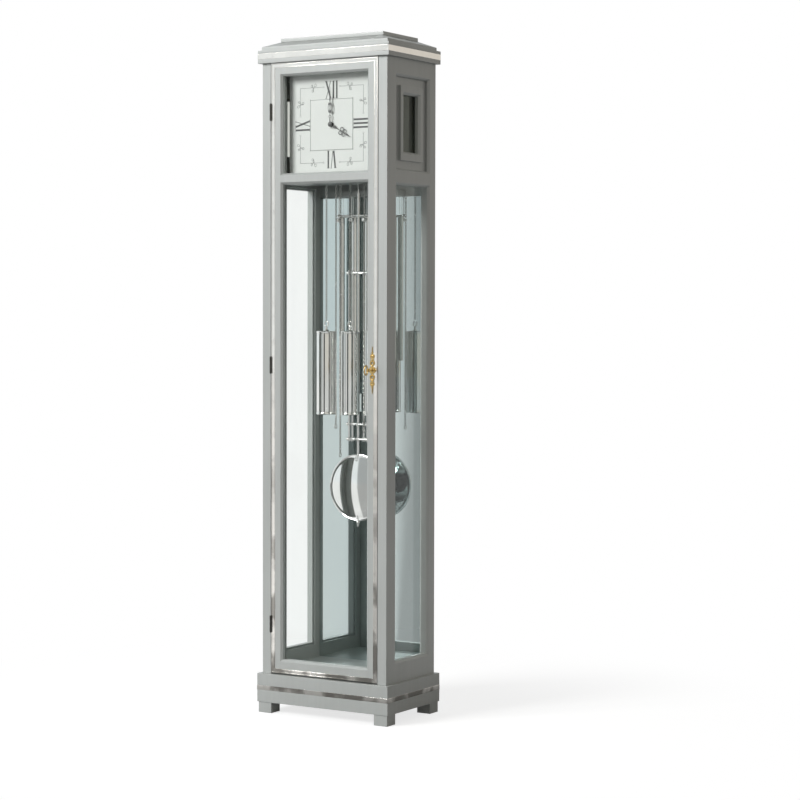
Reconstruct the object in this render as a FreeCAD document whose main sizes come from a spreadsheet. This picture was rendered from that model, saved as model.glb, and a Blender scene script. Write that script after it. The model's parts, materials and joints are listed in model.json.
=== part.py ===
import FreeCAD, Part
import math
import os
import re

import Sketcher
from FreeCAD import Placement, Rotation, Vector

os.makedirs("parts", exist_ok=True)
doc = FreeCAD.newDocument("LongcaseClock")
sheet = doc.addObject("Spreadsheet::Sheet", "Sizes")

# Driving sizes in millimetres and degrees, each with what it measures
SIZES = (
    ("CaseWidth", 434, "outer width of the case body"),
    ("CaseDepth", 270, "outer depth of the case body"),
    ("FootHeight", 32, "height of each block foot"),
    ("PlinthHeight", 85, "height of the plinth"),
    ("BodyHeight", 1807.5, "height of the case body between plinth and cornice"),
    ("CorniceHeight", 38.5, "height of the cornice"),
    ("CrownLip", 10.4, "upright edge of the crown moulding"),
    ("CrownRise", 15.6, "height of the sloping part of the crown moulding"),
    ("SlabHeight", 11, "height of the top slab"),
    ("FootSize", 46, "side of each square foot"),
    ("FootInset", 3, "foot set back from the plinth edge"),
    ("PlinthOverhang", 12, "plinth standing out past the case body"),
    ("PlinthWall", 30, "thickness of the plinth boards"),
    ("CorniceOverhang", 10.5, "cornice standing out past the case body"),
    ("CrownSetback", 8.5, "crown moulding set back from the cornice edge"),
    ("SlabSetback", 48.6, "top slab set back from the cornice edge"),
    ("PlinthStripRise", 36, "steel strip above the underside of the plinth"),
    ("PlinthStripHeight", 14, "height of the plinth's steel strip"),
    ("CorniceStripRise", 12.5, "steel strip above the underside of the cornice"),
    ("CorniceStripHeight", 17, "height of the cornice's steel strip"),
    ("StripSink", 1, "depth that each strip is let in"),
    ("StripProud", 0.5, "height of each strip over its board"),
    ("PostWidth", 30, "thickness of each side frame"),
    ("BoardThick", 18, "thickness of the case floor and the case top"),
    ("BackThick", 8, "thickness of the back panel"),
    ("MirrorThick", 4, "thickness of the mirror on the back panel"),
    ("MirrorMargin", 1, "gap round the mirror"),
    ("SideStileFront", 54, "side frame in front of its windows"),
    ("SideStileBack", 39, "side frame behind its windows"),
    ("SideFoot", 64, "side frame under the lower window"),
    ("SideRail", 47, "side frame between its two windows"),
    ("SideHead", 52.5, "side frame above the upper window"),
    ("HoodWindow", 265, "height of the upper side window"),
    ("GlassThick", 4, "thickness of every pane"),
    ("GlassLap", 6, "lap of a pane behind its frame"),
    ("GlassPlay", 0.5, "gap round a pane in its rebate"),
    ("BeadThick", 3, "thickness of the beads that hold the door panes"),
    ("SideGlassDepth", 23, "side pane behind the outer face of its frame"),
    ("Bevel", 6, "bevelled edge round each window"),
    ("PanelDepth", 12, "hood side panel behind the outer face"),
    ("PanelThick", 8, "thickness of the hood side panel"),
    ("MouldingDrop", 4, "raised moulding below the outer face"),
    ("MouldingWidth", 125, "outer width of the raised moulding"),
    ("MouldingHeight", 216, "outer height of the raised moulding"),
    ("MouldingBar", 20.5, "width of the moulding's own bars"),
    ("MouldingBarHigh", 25.5, "height of the moulding's top and bottom bars"),
    ("DoorGap", 1.5, "gap at each side of the door"),
    ("DoorSill", 4, "gap under the door"),
    ("DoorHead", 1.5, "gap over the door"),
    ("DoorThick", 25, "thickness of the door frame"),
    ("DoorStile", 38, "width of the door's stiles"),
    ("DoorFoot", 41, "height of the door's bottom rail"),
    ("DoorRail", 32, "height of the door's middle rail"),
    ("DoorTop", 38, "height of the door's top rail"),
    ("DialWindow", 285, "height of the door's upper window"),
    ("DoorStrip", 13.5, "width of the steel strip round the door"),
    ("DoorPlay", 3, "floor and top boards behind the closed door"),
    ("HingeDown", 142, "top hinge below the top of the door"),
    ("HingeRise", 14, "middle hinge above the middle of the door"),
    ("HingeUp", 145, "bottom hinge above the foot of the door"),
    ("HingeLength", 46, "length of each hinge"),
    ("HingeStandoff", 3.4, "hinge axis in front of the case"),
    ("KnuckleRadius", 2.8, "radius of the hinge knuckles"),
    ("HingePinRadius", 1.2, "radius of the hinge pins"),
    ("PinTip", 3, "height of each end of a hinge pin"),
    ("HingeFit", 0.05, "play of the pin in the door's knuckle"),
    ("KnucklePlay", 0.4, "gap between knuckles"),
    ("LeafThick", 1.2, "thickness of a hinge leaf"),
    ("LeafWidth", 22, "width of a hinge leaf"),
    ("LockRise", 4, "key above the middle of the door"),
    ("LockInset", 17, "key from the door's edge"),
    ("LockWidth", 28, "width of the lock body"),
    ("LockTall", 52, "height of the lock body"),
    ("LockDeep", 13, "depth of the lock body"),
    ("CamThick", 3, "thickness of the locking tongue"),
    ("CamWidth", 12, "width of the locking tongue"),
    ("CamReach", 27, "reach of the locking tongue"),
    ("MortisePlay", 2, "room round the tongue in the side frame"),
    ("PlateWidth", 26, "width of the escutcheon"),
    ("PlateTall", 135, "height of the escutcheon"),
    ("PlateThick", 2, "thickness of the escutcheon"),
    ("PlateHub", 11, "radius of the escutcheon's middle disc"),
    ("PlateLobe", 8, "radius of the escutcheon's lobes"),
    ("PlateHole", 3.2, "radius of the pierced holes in a lobe"),
    ("PlateLobeStep", 20, "spacing of the lobes"),
    ("PlateWaist", 6, "width of the escutcheon between lobes"),
    ("KeyRadius", 2.5, "radius of the key's shank"),
    ("KeyFit", 0.05, "play of the shank in the lock"),
    ("KeyholeRadius", 3.4, "radius of the hole in door and escutcheon"),
    ("KeyReach", 45, "end of the key in front of the case"),
    ("KeyCollar", 4.5, "radius of the collar on the key"),
    ("KeyCollarLong", 5, "length of the collar on the key"),
    ("BowHeight", 32, "height of the key's bow"),
    ("BowLong", 21, "length of the key's bow"),
    ("BowBar", 4.5, "width of the metal of the bow"),
    ("BowThick", 4, "thickness of the bow"),
    ("SeatDrop", 148, "top of the seat board below the centre of the dial"),
    ("SeatThick", 20, "thickness of the seat board"),
    ("SeatFront", 45, "seat board behind the face of the case"),
    ("SeatBack", 36, "back edge of the seat board behind the middle"),
    ("SlotWidth", 18, "width of each chain slot"),
    ("SlotLength", 26, "length of each chain slot"),
    ("DialDrop", 2.5, "centre of the dial below the middle of the door's upper window"),
    ("DialLapSide", 1, "dial past the window at each side"),
    ("DialLapEnd", 6, "half the dial's extra height over the window"),
    ("DialDepth", 41, "dial behind the face of the case"),
    ("DialThick", 2, "thickness of the dial plate"),
    ("DialCentre", 150, "side of the raised inner square"),
    ("DialRaise", 1, "height of the raised inner square"),
    ("DialHole", 7, "radius of the hole for the hands"),
    ("DialFoot", 3, "radius of the dial feet"),
    ("DialFootOut", 85, "dial feet out from the centre"),
    ("DialFootUp", 70, "dial feet above and below the centre"),
    ("HourHandLong", 78, "length of the hour hand"),
    ("MinuteHandLong", 110, "length of the minute hand"),
    ("HandThick", 1.2, "thickness of the hands"),
    ("HandHub", 8, "radius of the hands' hubs"),
    ("HandHalf", 1.6, "half width of the hands' stems"),
    ("HandLoop", 8.5, "radius of the loops in the hands"),
    ("HandWire", 2.2, "width of the metal round a loop"),
    ("HandGap", 3.4, "gap between dial centre and hour hand and between the hands"),
    ("HourAngle", 120, "hour hand turned clockwise from twelve"),
    ("NutRadius", 4.6, "radius of the hand nut"),
    ("NutThick", 3, "thickness of the hand nut"),
    ("PlateFront", 58, "front face of the movement before the middle of the case"),
    ("PlateRear", 33, "rear face of the movement behind the middle of the case"),
    ("MovementPlate", 3, "thickness of the movement plates"),
    ("MovementWidth", 200, "width of the movement plates"),
    ("PlateHead", 17.9, "top of the movement plates above the pendulum's pivot"),
    ("PillarRadius", 4, "radius of the movement pillars"),
    ("PillarInset", 6, "pillars from the sides of the plates"),
    ("PillarDown", 10, "pillars from the top and bottom of the plates"),
    ("ArborRadius", 2, "radius of the arbors"),
    ("PivotRadius", 1.5, "radius of the pivots"),
    ("PivotFit", 0.05, "play of a pivot in its plate"),
    ("EndShake", 0.3, "end play of an arbor between the plates"),
    ("CentreRadius", 2.5, "radius of the minute arbor"),
    ("CannonRadius", 3.5, "radius of the cannon pipe"),
    ("HourPipeRadius", 5.5, "radius of the hour wheel's pipe"),
    ("WheelThick", 3, "thickness of the train wheels"),
    ("PinionLong", 11, "length of the train pinions"),
    ("CentreTeeth", 75, "teeth of the centre wheel"),
    ("ThirdTeeth", 75, "teeth of the third wheel"),
    ("MiddleTeeth", 58, "teeth of the intermediate wheel"),
    ("GreatTeeth", 48, "teeth of the great wheel"),
    ("LeafCount", 12, "leaves of the centre and intermediate pinions"),
    ("FineLeafCount", 10, "leaves of the third and escape pinions"),
    ("GreatModule", 1.3, "module of great wheel and intermediate pinion"),
    ("MiddleModule", 1.15, "module of intermediate wheel and centre pinion"),
    ("CentreModule", 0.9, "module of centre wheel and third pinion"),
    ("ThirdModule", 0.8, "module of third wheel and escape pinion"),
    ("CannonTeeth", 16, "teeth of the cannon pinion"),
    ("MinuteTeeth", 48, "teeth of the minute wheel"),
    ("MinuteLeafCount", 12, "leaves of the minute wheel's pinion"),
    ("HourTeeth", 48, "teeth of the hour wheel"),
    ("CannonModule", 1, "module of the cannon pinion and minute wheel"),
    ("MotionThick", 5.5, "thickness of the motion work's wheels"),
    ("MotionGap", 1.5, "gap between the layers of the motion work"),
    ("ThirdPlane", 11, "third wheel behind the front plate"),
    ("CentrePlane", 21, "centre wheel behind the front plate"),
    ("MiddlePlane", 31, "intermediate wheel behind the front plate"),
    ("GreatPlane", 43, "great wheel behind the front plate"),
    ("EscapePlane", 73, "escape wheel behind the front plate"),
    ("EscapeTeeth", 30, "teeth of the escape wheel"),
    ("EscapeRadius", 22, "radius of the escape wheel"),
    ("EscapeToothHeight", 4, "height of the escape wheel's teeth"),
    ("EscapeRise", 41, "escape arbor above the minute arbor"),
    ("PalletGap", 1.8, "pallets clear of the escape wheel at rest"),
    ("PalletLong", 4, "length of each pallet"),
    ("PalletWidth", 5, "width of each anchor arm"),
    ("MiddleSide", 25, "intermediate arbor to the side of the minute arbor"),
    ("ChainSpan", 34, "distance between the two strands of a chain"),
    ("ChainRadius", 2.5, "half the width of a chain"),
    ("ChainPlane", 6, "chains behind the middle of the case"),
    ("WeightSpacing", 84, "distance between the weights"),
    ("SideSprocketDrop", 95, "two outer sprockets below the centre of the dial"),
    ("SprocketFlange", 22, "radius of the sprocket flanges"),
    ("SprocketWidth", 14, "width of a sprocket"),
    ("SprocketGroove", 6, "width of the groove in a sprocket"),
    ("SprocketPlay", 0.3, "gap between a chain and its sprocket"),
    ("WinderArbor", 3, "radius of a sprocket's arbor"),
    ("WeightRadius", 29, "radius of a weight"),
    ("WeightLong", 250, "length of a weight with its end caps"),
    ("WeightDrop", 685, "underside of the weights below the seat board"),
    ("WeightCap", 7, "thickness of a weight's end cap"),
    ("CapLip", 1, "end cap standing out past the weight"),
    ("HookRise", 30, "top of a weight's hook above the weight"),
    ("HookRing", 7, "radius of a weight's hook"),
    ("HookWire", 1.8, "radius of the wire of a hook"),
    ("FreeEndLeft", 712, "lower end of the left chain below the seat board"),
    ("FreeEndCentre", 797, "lower end of the middle chain below the seat board"),
    ("FreeEndRight", 722, "lower end of the right chain below the seat board"),
    ("EndRing", 6, "radius of the ring on a chain's end"),
    ("EndWire", 1.3, "radius of the wire of that ring"),
    ("SeatGap", 0.3, "gap between pieces that only rest on each other"),
    ("PendulumPlane", 52, "pendulum behind the middle of the case"),
    ("PendulumLong", 1144.1, "centre of the bob below the pendulum's pivot"),
    ("BobRadius", 98.5, "radius of the bob"),
    ("BobHalf", 12, "half thickness of the bob"),
    ("BobRim", 2, "radius of the bead round the bob"),
    ("RodRadius", 3.5, "radius of the pendulum's main rod"),
    ("GridRadius", 3, "radius of the outer rods of the pendulum"),
    ("GridOuter", 32, "outer rods from the middle of the pendulum"),
    ("GridInner", 20, "inner rods from the middle of the pendulum"),
    ("GridTop", 642, "upper cross bar above the centre of the bob"),
    ("GridMiddle", 190, "middle cross bar above the centre of the bob"),
    ("GridBottom", 145, "lower cross bar above the centre of the bob"),
    ("BarHalf", 37, "half length of a cross bar"),
    ("BarRadius", 4, "radius of a cross bar"),
    ("BallRadius", 5, "radius of the balls on a cross bar"),
    ("NutDrop", 0.3, "rating nut below the bob"),
    ("RatingRadius", 5.5, "radius of the rating nut"),
    ("RatingTall", 6, "height of the rating nut"),
    ("TipRadius", 4, "radius of the pointed end under the rating nut"),
    ("TipLong", 13, "length of the pointed end"),
    ("SpringWidth", 9, "width of the suspension spring"),
    ("SpringThick", 0.6, "thickness of the suspension spring"),
    ("SpringDrop", 22, "suspension spring below the pivot"),
    ("SpringRise", 10, "suspension spring above the pivot"),
    ("CockRise", 6, "suspension cock above the pivot"),
    ("CockWidth", 26, "width of the suspension cock"),
    ("CockDeep", 26, "depth of the suspension cock"),
    ("CockTall", 11, "height of the suspension cock"),
    ("CockSlot", 0.6, "gap round the spring in the cock"),
    ("CrutchDrop", 70, "fork of the crutch below the pivot"),
    ("CrutchWidth", 6, "width of the crutch"),
    ("CrutchThick", 3, "thickness of the crutch"),
    ("ForkPlay", 0.3, "play of the pendulum in the fork"),
    ("TubeCount", 5, "number of chime tubes"),
    ("TubeSpacing", 46, "distance between chime tubes"),
    ("TubeRadius", 8.5, "radius of a chime tube"),
    ("TubeWall", 1.5, "wall of a chime tube"),
    ("TubeFront", 19.5, "chime tubes before the face of the mirror"),
    ("TubeDrop", 57, "tops of the tubes below the rack"),
    ("TubeLong", 571, "length of the longest tube"),
    ("TubeStep", 34, "each tube shorter than the last by"),
    ("TubeCap", 4, "thickness of a tube's top plug"),
    ("HangerRadius", 0.7, "radius of the wire hangers of the tubes"),
    ("RackEnd", 26, "tube rack past the outer tubes"),
    ("RackHeight", 16, "height of the tube rack"),
    ("RackDrop", 52, "underside of the tube rack below the top of the seat board"),
    ("RackDeep", 43, "depth of the tube rack"),
    ("HammerDrop", 70, "hammer heads below the rack"),
    ("HammerRadius", 6, "radius of a hammer head"),
    ("HammerLong", 14, "length of a hammer head"),
    ("HammerGap", 3, "hammer head from its tube"),
    ("HammerWire", 1.1, "radius of a hammer's arm"),
)
for row, (alias, value, note) in enumerate(SIZES, start=1):
    sheet.set(f"A{row}", note)
    sheet.set(f"B{row}", str(value))
    sheet.setAlias(f"B{row}", alias)
doc.recompute()
size = {alias: float(sheet.get(alias)) for alias, value, note in SIZES}

# Planes that many pieces share, as sums of the driving sizes; y counts from the middle of the case
MIDDLE = "((KeyReach - PlinthOverhang) / 2)"
SIDE = "(CaseWidth / 2)"
INNER = "(CaseWidth / 2 - PostWidth)"
FRONT = "(-CaseDepth / 2)"
BACK = "(CaseDepth / 2)"
BASE = "(FootHeight + PlinthHeight)"
TOP = f"({BASE} + BodyHeight)"
BACK_FACE = f"({BACK} - BackThick)"
DOOR_SIDE = f"({INNER} - DoorGap)"
DOOR_BACK = f"({FRONT} + DoorThick)"
DOOR_LOW = f"({BASE} + DoorSill)"
DOOR_HIGH = f"({TOP} - DoorHead)"
CAM_FRONT = f"({DOOR_BACK} + LockDeep)"
GLASS_SIDE = f"({DOOR_SIDE} - DoorStile)"
HINGE_X = f"(-{INNER} + DoorGap / 2)"
HINGE_Y = f"({FRONT} - HingeStandoff)"
LOCK_X = f"({DOOR_SIDE} - LockInset)"
DIAL_HIGH = f"({DOOR_HIGH} - DoorTop)"
DIAL_LOW = f"({DIAL_HIGH} - DialWindow)"
DIAL_MIDDLE = f"(({DIAL_LOW} + {DIAL_HIGH}) / 2 - DialDrop)"
DOOR_MIDDLE = f"(({DOOR_LOW} + {DOOR_HIGH}) / 2)"
LOCK_RISE = f"({DOOR_MIDDLE} + LockRise)"
SEAT_TOP = f"({DIAL_MIDDLE} - SeatDrop)"
SEAT_LOW = f"({SEAT_TOP} - SeatThick)"
SIDE_SPROCKET = f"({DIAL_MIDDLE} - SideSprocketDrop)"
RACK_BASE = f"({SEAT_TOP} - RackDrop)"
TUBE_TOP = f"({RACK_BASE} - TubeDrop)"
MIRROR_FACE = f"({BACK_FACE} - MirrorThick)"
TUBE_BACK = f"({MIRROR_FACE} - TubeFront)"
RACK_FRONT = f"({BACK_FACE} - RackDeep)"
DIAL_FACE = f"({FRONT} + DialDepth)"
PLATE_FRONT = "(-PlateFront)"
PLATE_REAR = "(PlateRear)"
MAIN_SPROCKET = "(-ChainSpan / 2)"
OUTER_SPROCKET = "(WeightSpacing - ChainSpan / 2)"


def linked(text):
    """Point every alias in an expression at the sheet."""
    return re.sub(r"\b([A-Z][A-Za-z]+)\b", r"Sizes.\1", text)


def bind(item, *pairs):
    """Tie properties of a solid to expressions."""
    for name, text in pairs:
        item.setExpression(name, linked(text))
    return item


def at(item, x="0", y="0", z="0"):
    """Tie the place of a solid; y counts from the middle of the case."""
    return bind(
        item, ("Placement.Base.x", x), ("Placement.Base.y", f"{MIDDLE} + ({y})"), ("Placement.Base.z", z)
    )


def block(name, x, y, z):
    """Box between a low and a high plane on each axis."""
    item = doc.addObject("Part::Box", name)
    for edge, (low, high) in (("Length", x), ("Width", y), ("Height", z)):
        bind(item, (edge, f"({high}) - ({low})"))
    return at(item, x[0], y[0], z[0])


def rod(name, radius, x, y, z):
    """Cylinder along Y between two planes."""
    item = doc.addObject("Part::Cylinder", name)
    item.Placement.Rotation = Rotation(Vector(1, 0, 0), -90)
    bind(item, ("Radius", radius), ("Height", f"({y[1]}) - ({y[0]})"))
    return at(item, x, y[0], z)


def bar(name, radius, x, y, z):
    """Cylinder along X between two planes."""
    item = doc.addObject("Part::Cylinder", name)
    item.Placement.Rotation = Rotation(Vector(0, 1, 0), 90)
    bind(item, ("Radius", radius), ("Height", f"({x[1]}) - ({x[0]})"))
    return at(item, x[0], y, z)


def post(name, radius, x, y, z):
    """Upright cylinder between two heights."""
    item = doc.addObject("Part::Cylinder", name)
    bind(item, ("Radius", radius), ("Height", f"({z[1]}) - ({z[0]})"))
    return at(item, x, y, z[0])


def ball(name, radius, x, y, z):
    """Full ball."""
    item = doc.addObject("Part::Sphere", name)
    bind(item, ("Radius", radius))
    return at(item, x, y, z)


def ring(name, radius, wire, x, y, z, turn=None):
    """Torus, lying flat unless it is turned."""
    item = doc.addObject("Part::Torus", name)
    if turn:
        item.Placement.Rotation = turn
    bind(item, ("Radius1", radius), ("Radius2", wire))
    return at(item, x, y, z)


def spike(name, low, high, x, y, z):
    """Upright cone with its radius at the two heights."""
    item = doc.addObject("Part::Cone", name)
    bind(item, ("Radius1", low), ("Radius2", high), ("Height", f"({z[1]}) - ({z[0]})"))
    return at(item, x, y, z[0])


def funnel(name, wide, tall, depth, spread, place, turn):
    """Tapered block that bevels a window: its mouth is wider than its throat by spread all round."""
    item = doc.addObject("Part::Wedge", name)
    item.Placement.Rotation = turn
    for near, far, (low, high) in (("X", "X2", wide), ("Z", "Z2", tall)):
        bind(item, (near + "min", f"({low}) - ({spread})"), (near + "max", f"({high}) + ({spread})"))
        bind(item, (far + "min", low), (far + "max", high))
    bind(item, ("Ymin", "0"), ("Ymax", depth))
    return at(item, *place)


def lathe(name, profile):
    """Solid of revolution about its own Z, from a sketched outline of radius and height pairs."""
    body = doc.addObject("PartDesign::Body", name)
    sketch = body.newObject("Sketcher::SketchObject", name + "Outline")
    plane = next(item for item in body.Origin.OriginFeatures if item.Role == "XZ_Plane")
    sketch.AttachmentSupport = [(plane, "")]
    sketch.MapMode = "FlatFace"
    # Rough places first, so that the sketch closes; the bound distances then draw it to size
    spread = size["CaseDepth"]
    angles = [2 * math.pi * count / len(profile) for count in range(len(profile))]
    rough = [Vector(spread * (2 + math.cos(angle)), spread * math.sin(angle), 0) for angle in angles]
    for start, end in zip(rough, rough[1:] + rough[:1]):
        sketch.addGeometry(Part.LineSegment(start, end), False)
    for count in range(len(profile)):
        sketch.addConstraint(Sketcher.Constraint("Coincident", count, 2, (count + 1) % len(profile), 1))
    for count, (radius, height) in enumerate(profile):
        for kind, text in (("DistanceX", radius), ("DistanceY", height)):
            place = rough[count].x if kind == "DistanceX" else rough[count].y
            index = sketch.addConstraint(Sketcher.Constraint(kind, -1, 1, count, 1, place))
            sketch.setExpression(f"Constraints[{index}]", linked(text))
    turn = body.newObject("PartDesign::Revolution", name + "Turn")
    turn.Profile = sketch
    turn.ReferenceAxis = (sketch, ["V_Axis"])
    turn.Angle = 360
    sketch.Visibility = False
    return body


def join(name, *items):
    """One solid of several that touch."""
    item = doc.addObject("Part::MultiFuse", name)
    item.Shapes = list(items)
    return item


def cut(name, base, *tools):
    """A solid less its tools."""
    item = doc.addObject("Part::Cut", name)
    item.Base = base
    item.Tool = tools[0] if len(tools) == 1 else join(name + "Tools", *tools)
    return item


def group(name, *items):
    """Like pieces kept in one node as separate solids."""
    item = doc.addObject("Part::Compound", name)
    item.Links = list(items)
    return item


def frame_ring(name, x, y, z, inner_x, inner_z):
    """Four-sided frame with a straight opening along Y."""
    whole = block(name + "Whole", x, y, z)
    hole = block(name + "Hole", inner_x, y, inner_z)
    return cut(name, whole, hole)


nodes = []


def node(item, label):
    """Give a finished sub-part its name."""
    item.Label = label
    nodes.append(item)
    return item


def both(name, maker):
    """Make a piece on the left and on the right."""
    return [maker(name + "Left", -1), maker(name + "Right", 1)]


def span(sign, near, far):
    """Low and high plane of a piece between two distances from the middle, on one side."""
    return (f"{near}", f"{far}") if sign > 0 else (f"-({far})", f"-({near})")


# Feet: four square blocks under the corners of the plinth
foot_out = "(CaseWidth / 2 + PlinthOverhang - FootInset)"
foot_back = "(CaseDepth / 2 + PlinthOverhang - FootInset)"
feet = []
for column, across in (("Left", -1), ("Right", 1)):
    for line, along in (("Front", -1), ("Rear", 1)):
        wide = span(across, f"{foot_out} - FootSize", foot_out)
        deep = span(along, f"{foot_back} - FootSize", foot_back)
        feet.append(block("Foot" + line + column, wide, deep, ("0", "FootHeight")))
node(group("Feet", *feet), "feet")


def band(name, overhang, low, high):
    """Steel strip let into the front and the two sides of a projecting board."""
    out_x = f"({SIDE} + {overhang} + StripProud)"
    in_x = f"({SIDE} + {overhang} - StripSink)"
    out_y = f"({FRONT} - {overhang} - StripProud)"
    in_y = f"({FRONT} - {overhang} + StripSink)"
    rear = f"({BACK} + {overhang})"
    outer = block(name + "Outer", (f"-{out_x}", out_x), (out_y, rear), (low, high))
    inner = block(name + "Inner", (f"-{in_x}", in_x), (in_y, rear), (low, high))
    return cut(name, outer, inner)


# Plinth: a mitred ring of boards, and the steel strip let into it
plinth_low = "FootHeight + PlinthStripRise"
plinth_strip = band("PlinthStrip", "PlinthOverhang", plinth_low, f"{plinth_low} + PlinthStripHeight")
plinth_x = "(CaseWidth / 2 + PlinthOverhang)"
plinth_y = "(CaseDepth / 2 + PlinthOverhang)"
plinth_box = block("PlinthBox", (f"-{plinth_x}", plinth_x), (f"-{plinth_y}", plinth_y), ("FootHeight", BASE))
plinth_hollow = block(
    "PlinthHollow",
    (f"-({plinth_x} - PlinthWall)", f"{plinth_x} - PlinthWall"),
    (f"-({plinth_y} - PlinthWall)", f"{plinth_y} - PlinthWall"),
    ("FootHeight", BASE),
)
node(cut("Plinth", plinth_box, plinth_hollow, plinth_strip), "plinth")

# Cornice: the board that caps the case, with its own steel strip
cornice_low = f"{TOP} + CorniceStripRise"
cornice_strip = band("CorniceStrip", "CorniceOverhang", cornice_low, f"{cornice_low} + CorniceStripHeight")
cornice_x = "(CaseWidth / 2 + CorniceOverhang)"
cornice_y = "(CaseDepth / 2 + CorniceOverhang)"
CORNICE_TOP = f"({TOP} + CorniceHeight)"
cornice_box = block(
    "CorniceBox", (f"-{cornice_x}", cornice_x), (f"-{cornice_y}", cornice_y), (TOP, CORNICE_TOP)
)
node(cut("Cornice", cornice_box, cornice_strip), "cornice")
node(group("CaseStrips", plinth_strip, cornice_strip), "case_strips")

# Crown moulding: an upright lip, a slope and the flat slab on top
lip_x = f"({cornice_x} - CrownSetback)"
lip_y = f"({cornice_y} - CrownSetback)"
slab_x = f"({cornice_x} - SlabSetback)"
slab_y = f"({cornice_y} - SlabSetback)"
lip_top = f"({CORNICE_TOP} + CrownLip)"
slope_top = f"({lip_top} + CrownRise)"
lip = block("CrownLipBox", (f"-{lip_x}", lip_x), (f"-{lip_y}", lip_y), (CORNICE_TOP, lip_top))
slope = doc.addObject("Part::Wedge", "CrownSlope")
slope.Placement.Rotation = Rotation(Vector(1, 0, 0), 90)
bind(slope, ("Xmin", f"-{lip_x}"), ("Xmax", lip_x), ("Zmin", f"-{lip_y}"), ("Zmax", lip_y))
bind(slope, ("X2min", f"-{slab_x}"), ("X2max", slab_x), ("Z2min", f"-{slab_y}"), ("Z2max", slab_y))
bind(slope, ("Ymin", "0"), ("Ymax", "CrownRise"))
at(slope, "0", "0", lip_top)
slab = block(
    "TopSlabBox", (f"-{slab_x}", slab_x), (f"-{slab_y}", slab_y), (slope_top, f"{slope_top} + SlabHeight")
)
node(join("CrownMoulding", lip, slope), "crown_moulding")
node(slab, "top_slab")

# Case floor and case top: boards between the side frames, behind the door
board_y = (f"{DOOR_BACK} + DoorPlay", BACK_FACE)
node(block("CaseFloor", (f"-{INNER}", INNER), board_y, (BASE, f"{BASE} + BoardThick")), "case_floor")
node(block("CaseTop", (f"-{INNER}", INNER), board_y, (f"{TOP} - BoardThick", TOP)), "case_top")

# Back panel and the mirror glued to it
node(block("BackPanel", (f"-{INNER}", INNER), (BACK_FACE, BACK), (BASE, TOP)), "back_panel")
mirror_x = f"({INNER} - MirrorMargin)"
mirror_top = f"({RACK_BASE} - MirrorMargin)"
mirror = block(
    "BackMirror", (f"-{mirror_x}", mirror_x), (MIRROR_FACE, BACK_FACE), (f"{BASE} + BoardThick", mirror_top)
)
node(mirror, "back_mirror")

# Side frames: two tall frames with a lower and an upper window
window_y = (f"{FRONT} + SideStileFront", f"{BACK} - SideStileBack")
hood_high = f"({TOP} - SideHead)"
hood_low = f"({hood_high} - HoodWindow)"
trunk_high = f"({hood_low} - SideRail)"
trunk_low = f"({BASE} + SideFoot)"
lapped_y = (f"{window_y[0]} - GlassLap", f"{window_y[1]} + GlassLap")
HINGES = (
    ("Top", f"({DOOR_HIGH} - HingeDown)"),
    ("Middle", f"({DOOR_MIDDLE} + HingeRise)"),
    ("Bottom", f"({DOOR_LOW} + HingeUp)"),
)


def leaf_recess(name, x, height):
    """Shallow mortise for a hinge leaf, open to the front."""
    deep = (f"{FRONT} - StripProud", f"{FRONT} + LeafWidth")
    return block(name, x, deep, (f"{height} - HingeLength / 2", f"{height} + HingeLength / 2"))


def side_frame(name, sign):
    """One side frame, with the hinge mortises on the left and the tongue's mortise on the right."""
    glass_in = f"{SIDE} - SideGlassDepth"
    panel_out = f"{SIDE} - PanelDepth"
    turn = Rotation(Vector(0, 0, 1), 90 * sign)
    mouth_y = tuple(f"{sign} * ({edge})" for edge in window_y[::sign])
    tools = [
        block(name + "Trunk", span(sign, INNER, SIDE), window_y, (trunk_low, trunk_high)),
        block(name + "Hood", span(sign, INNER, SIDE), window_y, (hood_low, hood_high)),
        block(
            name + "TrunkRebate", span(sign, INNER, glass_in), lapped_y,
            (f"{trunk_low} - GlassLap", f"{trunk_high} + GlassLap"),
        ),
        block(
            name + "HoodRebate", span(sign, INNER, panel_out), lapped_y,
            (f"{hood_low} - GlassLap", f"{hood_high} + GlassLap"),
        ),
    ]
    for part, low, high in (("TrunkBevel", trunk_low, trunk_high), ("HoodBevel", hood_low, hood_high)):
        place = (f"{sign} * {SIDE}", "0", "0")
        tools.append(funnel(name + part, mouth_y, (low, high), "Bevel", "Bevel", place, turn))
    if sign < 0:
        for part, height in HINGES:
            tools.append(
                leaf_recess(name + "Mortise" + part, (f"-({INNER} + LeafThick)", f"-{INNER}"), height)
            )
    else:
        cam_deep = (f"{CAM_FRONT} - MortisePlay", f"{CAM_FRONT} + CamThick + MortisePlay")
        cam_tall = (
            f"{LOCK_RISE} - CamWidth / 2 - MortisePlay", f"{LOCK_RISE} + CamReach + MortisePlay"
        )
        tools.append(
            block(name + "Strike", (INNER, f"{LOCK_X} + CamReach + MortisePlay"), cam_deep, cam_tall)
        )
    return cut(name, block(name + "Board", span(sign, INNER, SIDE), (FRONT, BACK), (BASE, TOP)), *tools)


node(side_frame("SideFrameLeft", -1), "side_frame_left")
node(side_frame("SideFrameRight", 1), "side_frame_right")


# Side glass: one tall pane in each side frame's rebate
def side_pane(name, sign):
    """Pane against the step of the rebate."""
    inner = f"{SIDE} - SideGlassDepth - GlassThick"
    outer = f"{SIDE} - SideGlassDepth"
    deep = (f"{lapped_y[0]} + GlassPlay", f"{lapped_y[1]} - GlassPlay")
    tall = (f"{trunk_low} - GlassLap", f"{trunk_high} + GlassLap - GlassPlay")
    return block(name, span(sign, inner, outer), deep, tall)


node(group("SideGlass", *both("SideGlass", side_pane)), "side_glass")

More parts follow.
